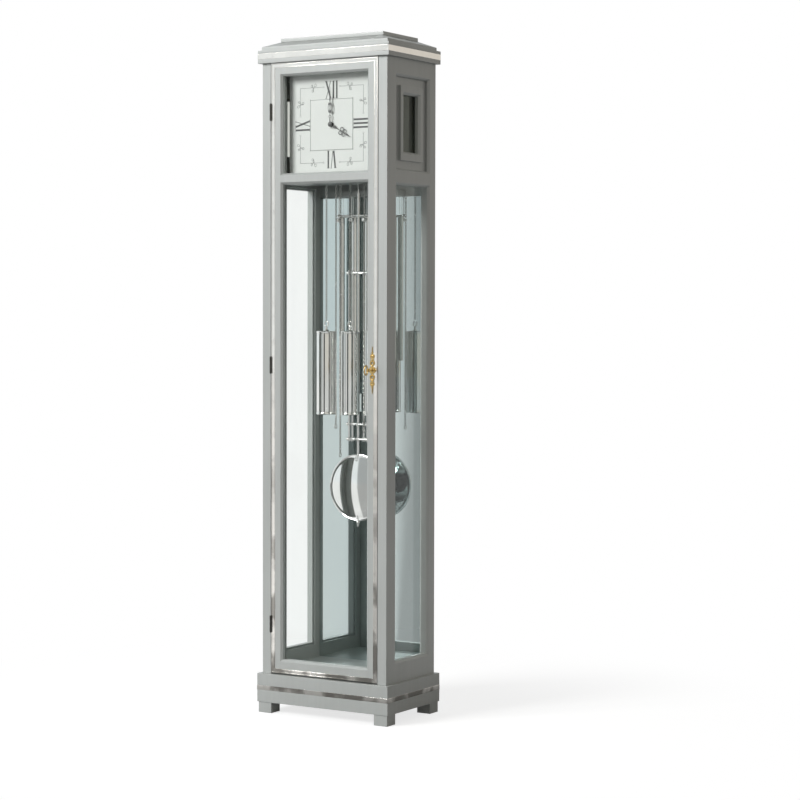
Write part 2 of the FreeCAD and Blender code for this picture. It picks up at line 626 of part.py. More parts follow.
# Hood side panels: a flat panel with a raised square moulding round a small dark pane
moulding_y = f"(({window_y[0]} + {window_y[1]}) / 2)"
moulding_z = f"(({hood_low} + {hood_high}) / 2)"
pane_y = (
    f"{moulding_y} - MouldingWidth / 2 + MouldingBar", f"{moulding_y} + MouldingWidth / 2 - MouldingBar"
)
pane_z = (
    f"{moulding_z} - MouldingHeight / 2 + MouldingBarHigh",
    f"{moulding_z} + MouldingHeight / 2 - MouldingBarHigh",
)


def hood_panel(name, sign):
    """Panel and its moulding, with the window cut through both and bevelled."""
    face = f"{SIDE} - PanelDepth"
    inside = f"{face} - PanelThick"
    high = f"{SIDE} - MouldingDrop"
    deep = (f"{lapped_y[0]} + GlassPlay", f"{lapped_y[1]} - GlassPlay")
    tall = (f"{hood_low} - GlassLap", f"{hood_high} + GlassLap - GlassPlay")
    board = block(name + "Board", span(sign, inside, face), deep, tall)
    mould_y = (f"{moulding_y} - MouldingWidth / 2", f"{moulding_y} + MouldingWidth / 2")
    mould_z = (f"{moulding_z} - MouldingHeight / 2", f"{moulding_z} + MouldingHeight / 2")
    raised = block(name + "Raised", span(sign, face, high), mould_y, mould_z)
    hole = block(name + "Hole", span(sign, inside, high), pane_y, pane_z)
    mouth_y = tuple(f"{sign} * ({edge})" for edge in pane_y[::sign])
    turn = Rotation(Vector(0, 0, 1), 90 * sign)
    bevel = funnel(name + "Bevel", mouth_y, pane_z, "Bevel", "Bevel", (f"{sign} * ({high})", "0", "0"), turn)
    return cut(name, join(name + "Body", board, raised), hole, bevel)


def hood_pane(name, sign):
    """Small pane that closes the panel's window from behind."""
    inside = f"{SIDE} - PanelDepth - PanelThick"
    deep = (f"{pane_y[0]} - GlassLap", f"{pane_y[1]} + GlassLap")
    tall = (f"{pane_z[0]} - GlassLap", f"{pane_z[1]} + GlassLap")
    return block(name, span(sign, f"{inside} - GlassThick", inside), deep, tall)


node(group("HoodPanels", *both("HoodPanel", hood_panel)), "hood_panels")
node(group("HoodPanes", *both("HoodPane", hood_pane)), "hood_panes")

# Door: frame with two windows, the steel strip round its face, panes and beads
TRUNK_HIGH = f"({DIAL_LOW} - DoorRail)"
TRUNK_LOW = f"({DOOR_LOW} + DoorFoot)"
DOOR_WINDOWS = (("Upper", DIAL_LOW, DIAL_HIGH), ("Lower", TRUNK_LOW, TRUNK_HIGH))
door_x = (f"-{DOOR_SIDE}", DOOR_SIDE)
door_recesses = [
    leaf_recess("DoorMortise" + part, (f"-{DOOR_SIDE}", f"-({DOOR_SIDE} - LeafThick)"), height)
    for part, height in HINGES
]
strip_y = (f"{FRONT} - StripProud", f"{FRONT} + StripSink")
strip_in_x = (f"-({DOOR_SIDE} - DoorStrip)", f"{DOOR_SIDE} - DoorStrip")
strip_in_z = (f"{DOOR_LOW} + DoorStrip", f"{DOOR_HIGH} - DoorStrip")
strip_ring = frame_ring("DoorStripRing", door_x, strip_y, (DOOR_LOW, DOOR_HIGH), strip_in_x, strip_in_z)
strip_notches = join("StripNotches", *door_recesses)
node(cut("DoorStrip", strip_ring, strip_notches), "door_strip")
door_tools = [strip_ring, strip_notches]
door_tools.append(rod("DoorKeyhole", "KeyholeRadius", LOCK_X, (FRONT, DOOR_BACK), LOCK_RISE))
for part, low, high in DOOR_WINDOWS:
    door_tools.append(
        block("DoorWindow" + part, (f"-{GLASS_SIDE}", GLASS_SIDE), (FRONT, DOOR_BACK), (low, high))
    )
    rebate_y = (f"{DOOR_BACK} - BeadThick - GlassThick", DOOR_BACK)
    rebate_x = (f"-({GLASS_SIDE} + GlassLap)", f"{GLASS_SIDE} + GlassLap")
    door_tools.append(
        block("DoorRebate" + part, rebate_x, rebate_y, (f"{low} - GlassLap", f"{high} + GlassLap"))
    )
    door_tools.append(
        funnel(
            "DoorBevel" + part, (f"-{GLASS_SIDE}", GLASS_SIDE), (low, high), "Bevel", "Bevel",
            ("0", FRONT, "0"), Rotation(),
        )
    )
door_board = block("DoorBoard", door_x, (FRONT, DOOR_BACK), (DOOR_LOW, DOOR_HIGH))
node(cut("DoorFrame", door_board, *door_tools), "door_frame")

door_panes = []
door_beads = []
for part, low, high in DOOR_WINDOWS:
    pane_x = f"({GLASS_SIDE} + GlassLap - GlassPlay)"
    pane_deep = (f"{DOOR_BACK} - BeadThick - GlassThick", f"{DOOR_BACK} - BeadThick")
    tall = (f"{low} - GlassLap", f"{high} + GlassLap - GlassPlay")
    door_panes.append(block("DoorPane" + part, (f"-{pane_x}", pane_x), pane_deep, tall))
    bead_x = (f"-({GLASS_SIDE} + GlassLap)", f"{GLASS_SIDE} + GlassLap")
    bead_z = (f"{low} - GlassLap", f"{high} + GlassLap")
    bead_y = (f"{DOOR_BACK} - BeadThick", DOOR_BACK)
    door_beads.append(
        frame_ring("DoorBead" + part, bead_x, bead_y, bead_z, (f"-{GLASS_SIDE}", GLASS_SIDE), (low, high))
    )
node(group("DoorGlass", *door_panes), "door_glass")
node(group("DoorBeads", *door_beads), "door_beads")

# Hinges: three butt hinges, each with two case knuckles, one door knuckle and a pin
case_leaves = []
door_leaves = []
hinge_pins = []
for part, height in HINGES:
    low = f"({height} - HingeLength / 2)"
    high = f"({height} + HingeLength / 2)"
    step = "(HingeLength / 3)"
    outer = ((low, f"{low} + {step}"), (f"{high} - {step}", high))
    inner = ((f"{low} + {step} + KnucklePlay", f"{high} - {step} - KnucklePlay"),)
    case_x = (f"-({INNER} + LeafThick)", f"-{INNER}")
    leaf_x = (f"-{DOOR_SIDE}", f"-({DOOR_SIDE} - LeafThick)")
    for kind, x, knuckles, store, bore in (
        ("CaseLeaf", case_x, outer, case_leaves, "HingePinRadius"),
        ("DoorLeaf", leaf_x, inner, door_leaves, "HingePinRadius + HingeFit"),
    ):
        name = kind + part
        solids = [block(name + "Plate", x, (FRONT, f"{FRONT} + LeafWidth"), (low, high))]
        for count, span_z in enumerate(knuckles):
            solids.append(block(f"{name}Tab{count}", x, (HINGE_Y, FRONT), span_z))
            solids.append(post(f"{name}Knuckle{count}", "KnuckleRadius", HINGE_X, HINGE_Y, span_z))
        hole = post(name + "Bore", bore, HINGE_X, HINGE_Y, (low, high))
        store.append(cut(name, join(name + "Body", *solids), hole))
    shaft = post("HingeShaft" + part, "HingePinRadius", HINGE_X, HINGE_Y, (low, high))
    upper = spike(
        "PinTop" + part, "KnuckleRadius", "HingePinRadius", HINGE_X, HINGE_Y, (high, f"{high} + PinTip")
    )
    lower = spike(
        "PinEnd" + part, "HingePinRadius", "KnuckleRadius", HINGE_X, HINGE_Y, (f"{low} - PinTip", low)
    )
    hinge_pins.append(join("HingePin" + part, shaft, upper, lower))
node(group("HingeCaseLeaves", *case_leaves), "hinge_case_leaves")
node(group("HingeDoorLeaves", *door_leaves), "hinge_door_leaves")
node(group("HingePins", *hinge_pins), "hinge_pins")

# Lock: body on the back of the stile, tongue behind it, escutcheon in front, key through all
lock_x = (f"{LOCK_X} - LockWidth / 2", f"{LOCK_X} + LockWidth / 2")
lock_z = (f"{LOCK_RISE} - LockTall / 2", f"{LOCK_RISE} + LockTall / 2")
lock_box = block("LockBox", lock_x, (DOOR_BACK, f"{CAM_FRONT} - SeatGap"), lock_z)
lock_bore = rod("LockBore", "KeyRadius + KeyFit", LOCK_X, (DOOR_BACK, CAM_FRONT), LOCK_RISE)
node(cut("LockBody", lock_box, lock_bore), "lock_body")
cam_y = (CAM_FRONT, f"{CAM_FRONT} + CamThick")
cam_bar = block(
    "CamBar",
    (f"{LOCK_X} - CamWidth / 2", f"{LOCK_X} + CamWidth / 2"),
    cam_y,
    (LOCK_RISE, f"{LOCK_RISE} + CamReach"),
)
cam_eye = rod("CamEye", "CamWidth / 2", LOCK_X, cam_y, LOCK_RISE)
cam_bore = rod("CamBore", "KeyRadius", LOCK_X, cam_y, LOCK_RISE)
node(cut("LockTongue", join("CamBody", cam_bar, cam_eye), cam_bore), "lock_tongue")

PLATE_BACK = f"({FRONT} - StripProud)"
plate_y = (f"{PLATE_BACK} - PlateThick", PLATE_BACK)
plate_solids = [rod("PlateHubDisc", "PlateHub", LOCK_X, plate_y, LOCK_RISE)]
plate_holes = [rod("PlateKeyhole", "KeyholeRadius", LOCK_X, plate_y, LOCK_RISE)]
for way, sign in (("Low", -1), ("High", 1)):
    for count in (1, 2):
        rise = f"{LOCK_RISE} + {sign} * {count} * PlateLobeStep"
        plate_solids.append(
            rod(f"PlateLobe{way}{count}", f"PlateLobe - {count - 1} * PlateThick / 2", LOCK_X, plate_y, rise)
        )
        plate_holes.append(
            rod(f"PlateHole{way}{count}", f"PlateHole - {count - 1} * PlateThick / 2", LOCK_X, plate_y, rise)
        )
    far = f"{LOCK_RISE} + {sign} * PlateTall / 2"
    tip = doc.addObject("Part::Wedge", "PlateTip" + way)
    tip.Placement.Rotation = Rotation(Vector(1, 0, 0), 90 * sign)
    bind(
        tip,
        ("Xmin", "-PlateWaist / 2"),
        ("Xmax", "PlateWaist / 2"),
        ("X2min", "-PlateThick / 4"),
        ("X2max", "PlateThick / 4"),
    )
    bind(tip, ("Zmin", "0"), ("Zmax", "PlateThick"), ("Z2min", "0"), ("Z2max", "PlateThick"))
    bind(tip, ("Ymin", "PlateHub"), ("Ymax", "PlateTall / 2"))
    at(tip, LOCK_X, plate_y[1] if sign > 0 else plate_y[0], LOCK_RISE)
    plate_solids.append(tip)
for side, sign in (("Left", -1), ("Right", 1)):
    out = f"{LOCK_X} + {sign} * (PlateWidth / 2 - PlateHole)"
    plate_solids.append(rod("PlateEar" + side, "PlateHole", out, plate_y, LOCK_RISE))
node(cut("Escutcheon", join("EscutcheonBody", *plate_solids), *plate_holes), "escutcheon")

bow_y = f"({FRONT} - KeyReach + BowLong / 2)"
shank = rod(
    "KeyShank",
    "KeyRadius",
    LOCK_X,
    (f"{bow_y} + BowLong / 2 - BowBar", f"{CAM_FRONT} + CamThick"),
    LOCK_RISE,
)
collar_y = f"({FRONT} - KeyReach + BowLong)"
collar = rod("KeyCollarDisc", "KeyCollar", LOCK_X, (collar_y, f"{collar_y} + KeyCollarLong"), LOCK_RISE)


def oval(name, tall, long):
    """Solid oval across the key, thick along X."""
    outline = doc.addObject("Part::Ellipse", name + "Line")
    bind(outline, ("MajorRadius", tall), ("MinorRadius", long))
    solid = doc.addObject("Part::Extrusion", name)
    solid.Base = outline
    solid.DirMode = "Custom"
    solid.Dir = Vector(0, 0, 1)
    solid.Solid = True
    bind(solid, ("LengthFwd", "BowThick"))
    solid.Placement.Rotation = Rotation(Vector(0, 1, 0), -90)
    return at(solid, f"{LOCK_X} + BowThick / 2", bow_y, LOCK_RISE)


bow_outer = oval("BowOuter", "BowHeight / 2", "BowLong / 2")
bow_inner = oval("BowInner", "BowHeight / 2 - BowBar", "BowLong / 2 - BowBar")
bow = cut("KeyBow", bow_outer, bow_inner)
node(join("Key", bow, shank, collar), "key")

# Seat board: carries the movement and lets the chains through
seat_board = block(
    "SeatPlank", (f"-{INNER}", INNER), (f"{FRONT} + SeatFront", "SeatBack"), (SEAT_LOW, SEAT_TOP)
)
CHAINS = (
    ("Left", f"-{OUTER_SPROCKET}", SIDE_SPROCKET, -1, "FreeEndLeft"),
    ("Centre", MAIN_SPROCKET, None, 1, "FreeEndCentre"),
    ("Right", OUTER_SPROCKET, SIDE_SPROCKET, 1, "FreeEndRight"),
)
slots = []
for part, x, rise, drive, free_drop in CHAINS:
    for strand, sign in (("Drive", drive), ("Free", -drive)):
        middle = f"({x} + {sign} * ChainSpan / 2)"
        slot_x = (f"{middle} - SlotWidth / 2", f"{middle} + SlotWidth / 2")
        slot_y = ("ChainPlane - SlotLength / 2", "ChainPlane + SlotLength / 2")
        slots.append(block(f"Slot{part}{strand}", slot_x, slot_y, (SEAT_LOW, SEAT_TOP)))
node(cut("SeatBoard", seat_board, *slots), "seat_board")

# Dial: square plate with a raised inner square, and the feet that hold it to the movement
dial_out = f"({GLASS_SIDE} + DialLapSide)"
dial_up = "(DialWindow / 2 + DialLapEnd)"
dial_x = (f"-{dial_out}", dial_out)
dial_z = (f"{DIAL_MIDDLE} - {dial_up}", f"{DIAL_MIDDLE} + {dial_up}")
dial_sheet = block("DialSheet", dial_x, (DIAL_FACE, f"{DIAL_FACE} + DialThick"), dial_z)
raised_x = ("-DialCentre / 2", "DialCentre / 2")
raised_z = (f"{DIAL_MIDDLE} - DialCentre / 2", f"{DIAL_MIDDLE} + DialCentre / 2")
dial_raised = block("DialRaised", raised_x, (f"{DIAL_FACE} - DialRaise", DIAL_FACE), raised_z)
dial_hole = rod(
    "DialHoleTool", "DialHole", "0", (f"{DIAL_FACE} - DialRaise", f"{DIAL_FACE} + DialThick"), DIAL_MIDDLE
)
node(cut("DialPlate", join("DialBody", dial_sheet, dial_raised), dial_hole), "dial_plate")


# Places of the arbors, each worked out from the tooth counts that mesh there
MIDDLE_REACH = "((MiddleTeeth + LeafCount) / 2 * MiddleModule)"
GREAT_REACH = "((GreatTeeth + LeafCount) / 2 * GreatModule)"
CENTRE_REACH = "((CentreTeeth + FineLeafCount) / 2 * CentreModule)"
THIRD_REACH = "((ThirdTeeth + FineLeafCount) / 2 * ThirdModule)"
MOTION_REACH = "((CannonTeeth + MinuteTeeth) / 2 * CannonModule)"
MIDDLE_RISE = f"({DIAL_MIDDLE} - sqrt({MIDDLE_REACH} ^ 2 - MiddleSide ^ 2))"
SPROCKET_RISE = f"({MIDDLE_RISE} - sqrt({GREAT_REACH} ^ 2 - (MiddleSide - ChainSpan / 2) ^ 2))"
THIRD_UP = f"(({CENTRE_REACH} ^ 2 - {THIRD_REACH} ^ 2 + EscapeRise ^ 2) / (2 * EscapeRise))"
THIRD_SIDE = f"sqrt({CENTRE_REACH} ^ 2 - {THIRD_UP} ^ 2)"
ESCAPE_RISE = f"({DIAL_MIDDLE} + EscapeRise)"
PIVOT = f"({ESCAPE_RISE} + EscapeRadius * sqrt(2))"
MOVEMENT_TOP = f"({PIVOT} + PlateHead)"
MINUTE_SIDE = f"({MOTION_REACH} / sqrt(2))"
MINUTE_RISE = f"({DIAL_MIDDLE} - {MOTION_REACH} / sqrt(2))"
ARBORS = {
    "Centre": ("0", DIAL_MIDDLE),
    "Middle": ("-MiddleSide", MIDDLE_RISE),
    "Great": (MAIN_SPROCKET, SPROCKET_RISE),
    "Third": (THIRD_SIDE, f"({DIAL_MIDDLE} + {THIRD_UP})"),
    "Escape": ("0", ESCAPE_RISE),
    "Anchor": ("0", PIVOT),
    "Left": (f"-{OUTER_SPROCKET}", SIDE_SPROCKET),
    "Right": (OUTER_SPROCKET, SIDE_SPROCKET),
    "Minute": (MINUTE_SIDE, MINUTE_RISE),
}

# A marked point on each arbor's line; the wheels read their directions from these
points = {}
for arbor_name, (x, z) in ARBORS.items():
    points[arbor_name] = at(doc.addObject("Part::Vertex", "Arbor" + arbor_name), x, "0", z)
doc.recompute()
STUD_FRONT = f"({PLATE_FRONT} - 2 * MotionGap - 2 * MotionThick)"


def plate(name, deep, wide_pivot):
    """One movement plate with a hole for each pivot."""
    half = "MovementWidth / 2"
    board = block(name + "Sheet", (f"-{half}", half), deep, (SEAT_TOP, MOVEMENT_TOP))
    holes = []
    for arbor, (x, z) in ARBORS.items():
        if arbor == "Minute":
            continue
        radius = wide_pivot if arbor == "Centre" else "PivotRadius"
        holes.append(rod(name + "Pivot" + arbor, f"{radius} + PivotFit", x, deep, z))
    return cut(name, board, *holes)


# Movement plates, the minute wheel's stud on the front one and the suspension cock on the rear one
front_plate = plate("FrontPlate", (PLATE_FRONT, f"{PLATE_FRONT} + MovementPlate"), "CentreRadius")
minute_stud = rod("MinuteStud", "ArborRadius", MINUTE_SIDE, (STUD_FRONT, PLATE_FRONT), MINUTE_RISE)
rear_plate = plate("RearPlate", (f"{PLATE_REAR} - MovementPlate", PLATE_REAR), "PivotRadius")
cock_low = f"({PIVOT} + CockRise)"
cock_box = block(
    "CockBox", ("-CockWidth / 2", "CockWidth / 2"), (PLATE_REAR, f"{PLATE_REAR} + CockDeep"),
    (cock_low, f"{cock_low} + CockTall"),
)
cock_slot = block(
    "CockSlotTool",
    ("-SpringThick / 2 - CockSlot", "SpringThick / 2 + CockSlot"),
    ("PendulumPlane - SpringWidth / 2 - CockSlot", "PendulumPlane + SpringWidth / 2 + CockSlot"),
    (cock_low, f"{PIVOT} + SpringRise + CockSlot"),
)
cock = cut("SuspensionCock", cock_box, cock_slot)
node(
    group("MovementPlates", join("FrontPlateStud", front_plate, minute_stud), rear_plate, cock),
    "movement_plates",
)

# Movement posts: the dial's four feet, and the four pillars that hold the plates apart
posts = []
for side, across in (("Left", -1), ("Right", 1)):
    for end, up in (("Low", -1), ("High", 1)):
        x = f"{across} * DialFootOut"
        z = f"{DIAL_MIDDLE} + {up} * DialFootUp"
        posts.append(rod(f"DialFoot{side}{end}", "DialFoot", x, (f"{DIAL_FACE} + DialThick", PLATE_FRONT), z))
    for end, z in (("Low", f"{SEAT_TOP} + PillarDown"), ("High", f"{MOVEMENT_TOP} - PillarDown")):
        x = f"{across} * (MovementWidth / 2 - PillarInset)"
        y = (f"{PLATE_FRONT} + MovementPlate", f"{PLATE_REAR} - MovementPlate")
        posts.append(rod(f"Pillar{side}{end}", "PillarRadius", x, y, z))
node(group("MovementPosts", *posts), "movement_posts")

# Toothed wheels are worked out point by point: each tooth has a root, a pitch and a tip on both flanks
ADDENDUM_SHARE = 0.7
DEDENDUM_SHARE = 1.1
ROOT_HALF_SHARE = 0.29
PITCH_HALF_SHARE = 0.2
TIP_HALF_SHARE = 0.08
CROSSING_SHARES = (0.52, 0.2)
CROSSINGS = 5
FULL_TURN = 2 * math.pi


def rim_points(teeth, phase, low, corners):
    """Outline of a wheel in its own plane, from the corners of one tooth."""
    points = []
    for count in range(int(teeth)):
        middle = phase + FULL_TURN * count / teeth
        for radius, share in corners:
            angle = middle + share * FULL_TURN / teeth
            points.append(Vector(radius * math.cos(angle), low, radius * math.sin(angle)))
    return points


def toothed(teeth, module, phase, low, high):
    """Toothed disc between two planes, with a tooth in the direction of its phase."""
    pitch = teeth * module / 2
    root = pitch - DEDENDUM_SHARE * module
    tip = pitch + ADDENDUM_SHARE * module
    flank = ((root, ROOT_HALF_SHARE), (pitch, PITCH_HALF_SHARE), (tip, TIP_HALF_SHARE))
    corners = [(radius, -share) for radius, share in flank] + list(flank[::-1])
    points = rim_points(teeth, phase, low, corners)
    outline = Part.makePolygon(points + points[:1])
    return Part.Face(outline).extrude(Vector(0, high - low, 0))


def turned(radius, low, high):
    """Plain cylinder on the arbor's own line."""
    return Part.makeCylinder(radius, high - low, Vector(0, low, 0), Vector(0, 1, 0))


def crossed(disc, pitch, low, high):
    """Wheel lightened by a ring of round openings."""
    place, width = CROSSING_SHARES
    for count in range(CROSSINGS):
        angle = FULL_TURN * count / CROSSINGS
        spot = Vector(place * pitch * math.cos(angle), low, place * pitch * math.sin(angle))
        disc = disc.cut(Part.makeCylinder(width * pitch, high - low, spot, Vector(0, 1, 0)))
    return disc


def feature(name, label, shape, arbor):
    """Sub-part whose shape is worked out here, set on its arbor."""
    item = doc.addObject("Part::Feature", name)
    item.Shape = shape.removeSplitter()
    x, z = ARBORS[arbor]
    at(item, x, "0", z)
    return node(item, label)


def direction(start, end):
    """Angle of the line from one arbor to another."""
    line = points[end].Placement.Base - points[start].Placement.Base
    return math.atan2(line.z, line.x)


def gap_towards(start, end, teeth):
    """Phase that points a tooth space from one arbor at another."""
    return direction(start, end) + math.pi / teeth


inner_front = size["MovementPlate"] - size["PlateFront"]
inner_rear = size["PlateRear"] - size["MovementPlate"]
arbor_low = inner_front + size["EndShake"]
arbor_high = inner_rear - size["EndShake"]
pivot_low = -size["PlateFront"]
pivot_high = size["PlateRear"]
thick = size["WheelThick"]
hour_hand_low = size["DialDepth"] - size["CaseDepth"] / 2 - size["DialRaise"] - size["HandGap"]
minute_hand_low = hour_hand_low - size["HandGap"] - size["HandThick"]
nut_low_plane = minute_hand_low - size["NutThick"]


def layer(alias):
    """Planes of a wheel that stands a named distance behind the front plate."""
    low = inner_front + size[alias]
    return low, low + thick


def leaf_layer(alias):
    """Planes of the pinion that meshes with the wheel of that layer."""
    low, high = layer(alias)
    middle = (low + high) / 2
    return middle - size["PinionLong"] / 2, middle + size["PinionLong"] / 2


def arbor(radius):
    """Arbor with a pivot through each plate."""
    return turned(radius, arbor_low, arbor_high).fuse(turned(size["PivotRadius"], pivot_low, pivot_high))


def wheel(alias, teeth, module, phase):
    """Crossed wheel of one layer."""
    low, high = layer(alias)
    disc = toothed(size[teeth], size[module], phase, low, high)
    return crossed(disc, size[teeth] * size[module] / 2, low, high)


def pinion(alias, leaves, module, phase):
    """Pinion of one layer."""
    return toothed(size[leaves], size[module], phase, *leaf_layer(alias))


# Going train: great wheel, intermediate wheel, centre wheel, third wheel and escape wheel
great = wheel("GreatPlane", "GreatTeeth", "GreatModule", direction("Great", "Middle"))
feature("GreatWheel", "great_wheel", great.fuse(arbor(size["WinderArbor"])), "Great")

middle_leaves = pinion(
    "GreatPlane", "LeafCount", "GreatModule", gap_towards("Middle", "Great", size["LeafCount"])
)
middle_wheel = wheel("MiddlePlane", "MiddleTeeth", "MiddleModule", direction("Middle", "Centre"))
middle_shape = middle_wheel.fuse([middle_leaves, arbor(size["ArborRadius"])])
feature("IntermediateWheel", "intermediate_wheel", middle_shape, "Middle")

NUT_FRONT = f"({DIAL_FACE} - DialRaise - 2 * HandGap - HandThick - NutThick)"
centre_leaves = pinion(
    "MiddlePlane", "LeafCount", "MiddleModule", gap_towards("Centre", "Middle", size["LeafCount"])
)
centre_wheel = wheel("CentrePlane", "CentreTeeth", "CentreModule", direction("Centre", "Third"))
centre_rear = turned(size["PivotRadius"], arbor_high, pivot_high)
centre_shaft = turned(size["CentreRadius"], nut_low_plane, arbor_high)
centre_shape = centre_wheel.fuse([centre_leaves, centre_shaft, centre_rear])
feature("CentreWheel", "centre_wheel", centre_shape, "Centre")

third_leaves = pinion(
    "CentrePlane", "FineLeafCount", "CentreModule", gap_towards("Third", "Centre", size["FineLeafCount"])
)
third_wheel = wheel("ThirdPlane", "ThirdTeeth", "ThirdModule", direction("Third", "Escape"))
third_shape = third_wheel.fuse([third_leaves, arbor(size["ArborRadius"])])
feature("ThirdWheel", "third_wheel", third_shape, "Third")

escape_low, escape_high = layer("EscapePlane")
escape_root = size["EscapeRadius"] - size["EscapeToothHeight"]
escape_corners = (
    (escape_root, -0.5), (size["EscapeRadius"], 0.1), (size["EscapeRadius"], 0.2), (escape_root, 0.25)
)
escape_points = rim_points(size["EscapeTeeth"], 0, escape_low, escape_corners)
escape_outline = Part.makePolygon(escape_points + escape_points[:1])
escape_disc = Part.Face(escape_outline).extrude(Vector(0, escape_high - escape_low, 0))
escape_disc = crossed(escape_disc, size["EscapeRadius"], escape_low, escape_high)
escape_leaves = pinion(
    "ThirdPlane", "FineLeafCount", "ThirdModule", gap_towards("Escape", "Third", size["FineLeafCount"])
)
escape_shape = escape_disc.fuse([escape_leaves, arbor(size["ArborRadius"])])
feature("EscapeWheel", "escape_wheel", escape_shape, "Escape")

# Anchor: two arms with pallets over the escape wheel, and the crutch that the pendulum moves with
arm_low = escape_low - thick / 3
arm_high = escape_high + thick / 3
slant = math.sqrt(2) / 2
pallet_in = size["EscapeRadius"] + size["PalletGap"]
pallet_out = pallet_in + size["PalletLong"]
anchor_drop = size["EscapeRadius"] * math.sqrt(2)
anchor_parts = [turned(size["PalletWidth"], arm_low, arm_high)]
for sign in (-1, 1):
    end = Vector(sign * pallet_out * slant, arm_low, pallet_out * slant - anchor_drop)
    reach = math.hypot(end.x, end.z)
    arm = Part.makeBox(
        reach, arm_high - arm_low, size["PalletWidth"], Vector(0, arm_low, -size["PalletWidth"] / 2)
    )
    arm.rotate(Vector(0, 0, 0), Vector(0, 1, 0), -math.degrees(math.atan2(end.z, end.x)))
    anchor_parts.append(arm)
    nib = Part.makeBox(size["PalletLong"], arm_high - arm_low, thick, Vector(pallet_in, arm_low, -thick / 2))
    nib.rotate(Vector(0, 0, 0), Vector(0, 1, 0), -45 if sign > 0 else -135)
    nib.translate(Vector(0, 0, -anchor_drop))
    anchor_parts.append(nib)
crutch_rear = pivot_high + size["EndShake"] + size["CrutchThick"] + size["CrutchThick"]
crutch_front = crutch_rear - size["CrutchThick"]
anchor_parts.append(turned(size["ArborRadius"], arbor_low, arbor_high))
anchor_parts.append(turned(size["PivotRadius"], pivot_low, crutch_rear))
anchor_parts.append(turned(size["CrutchWidth"] / 2 + size["EndShake"], crutch_front, crutch_rear))
half_crutch = size["CrutchWidth"] / 2
drop = size["CrutchDrop"]
anchor_parts.append(
    Part.makeBox(size["CrutchWidth"], size["CrutchThick"], drop, Vector(-half_crutch, crutch_front, -drop))
)
fork_in = size["RodRadius"] + size["ForkPlay"]
fork_rear = size["PendulumPlane"] + size["RodRadius"]
fork_out = fork_in + size["CrutchThick"]
anchor_parts.append(
    Part.makeBox(
        2 * fork_out, size["CrutchThick"], size["CrutchWidth"], Vector(-fork_out, crutch_front, -drop)
    )
)
for corner in (-fork_out, fork_in):
    prong = Vector(corner, crutch_front, -drop)
    anchor_parts.append(
        Part.makeBox(size["CrutchThick"], fork_rear - crutch_front, size["CrutchWidth"], prong)
    )
feature("Anchor", "anchor_crutch", anchor_parts[0].fuse(anchor_parts[1:]), "Anchor")

# Motion work behind the dial: cannon pinion, minute wheel and hour wheel
first_high = -size["PlateFront"] - size["MotionGap"]
first_low = first_high - size["MotionThick"]
second_high = first_low - size["MotionGap"]
second_low = second_high - size["MotionThick"]
fit = size["PivotFit"]
hour_module = size["CannonModule"] * (size["CannonTeeth"] + size["MinuteTeeth"]) / (
    size["MinuteLeafCount"] + size["HourTeeth"]
)

cannon_teeth = toothed(
    size["CannonTeeth"], size["CannonModule"], direction("Centre", "Minute"), first_low, first_high
)
cannon_pipe = turned(size["CannonRadius"], minute_hand_low, first_high)
cannon = cannon_teeth.fuse(cannon_pipe).cut(turned(size["CentreRadius"] + fit, minute_hand_low, first_high))
feature("CannonPinion", "cannon_pinion", cannon, "Centre")

minute_phase = gap_towards("Minute", "Centre", size["MinuteTeeth"])
minute_disc = toothed(size["MinuteTeeth"], size["CannonModule"], minute_phase, first_low, first_high)
minute_disc = crossed(minute_disc, size["MinuteTeeth"] * size["CannonModule"] / 2, first_low, first_high)
minute_leaves = toothed(
    size["MinuteLeafCount"], hour_module, direction("Minute", "Centre"), second_low, first_low
)
minute_bore = turned(size["ArborRadius"] + fit, second_low, first_high)
feature("MinuteWheel", "minute_wheel", minute_disc.fuse(minute_leaves).cut(minute_bore), "Minute")

hour_phase = gap_towards("Centre", "Minute", size["HourTeeth"])
hour_disc = toothed(size["HourTeeth"], hour_module, hour_phase, second_low, second_high)
hour_disc = crossed(hour_disc, size["HourTeeth"] * hour_module / 2, second_low, second_high)
hour_pipe = turned(size["HourPipeRadius"], hour_hand_low, second_high)
hour_bore = turned(size["CannonRadius"] + fit, hour_hand_low, second_high)
feature("HourWheel", "hour_wheel", hour_disc.fuse(hour_pipe).cut(hour_bore), "Centre")


# Hands: a hub, a stem with two pierced loops and a pointed tip, made upright and then turned
LOOP_SHARES = (0.36, 0.58)
LOOP_SIZE_SHARES = (1, 0.8)
TIP_SHARE = 0.68


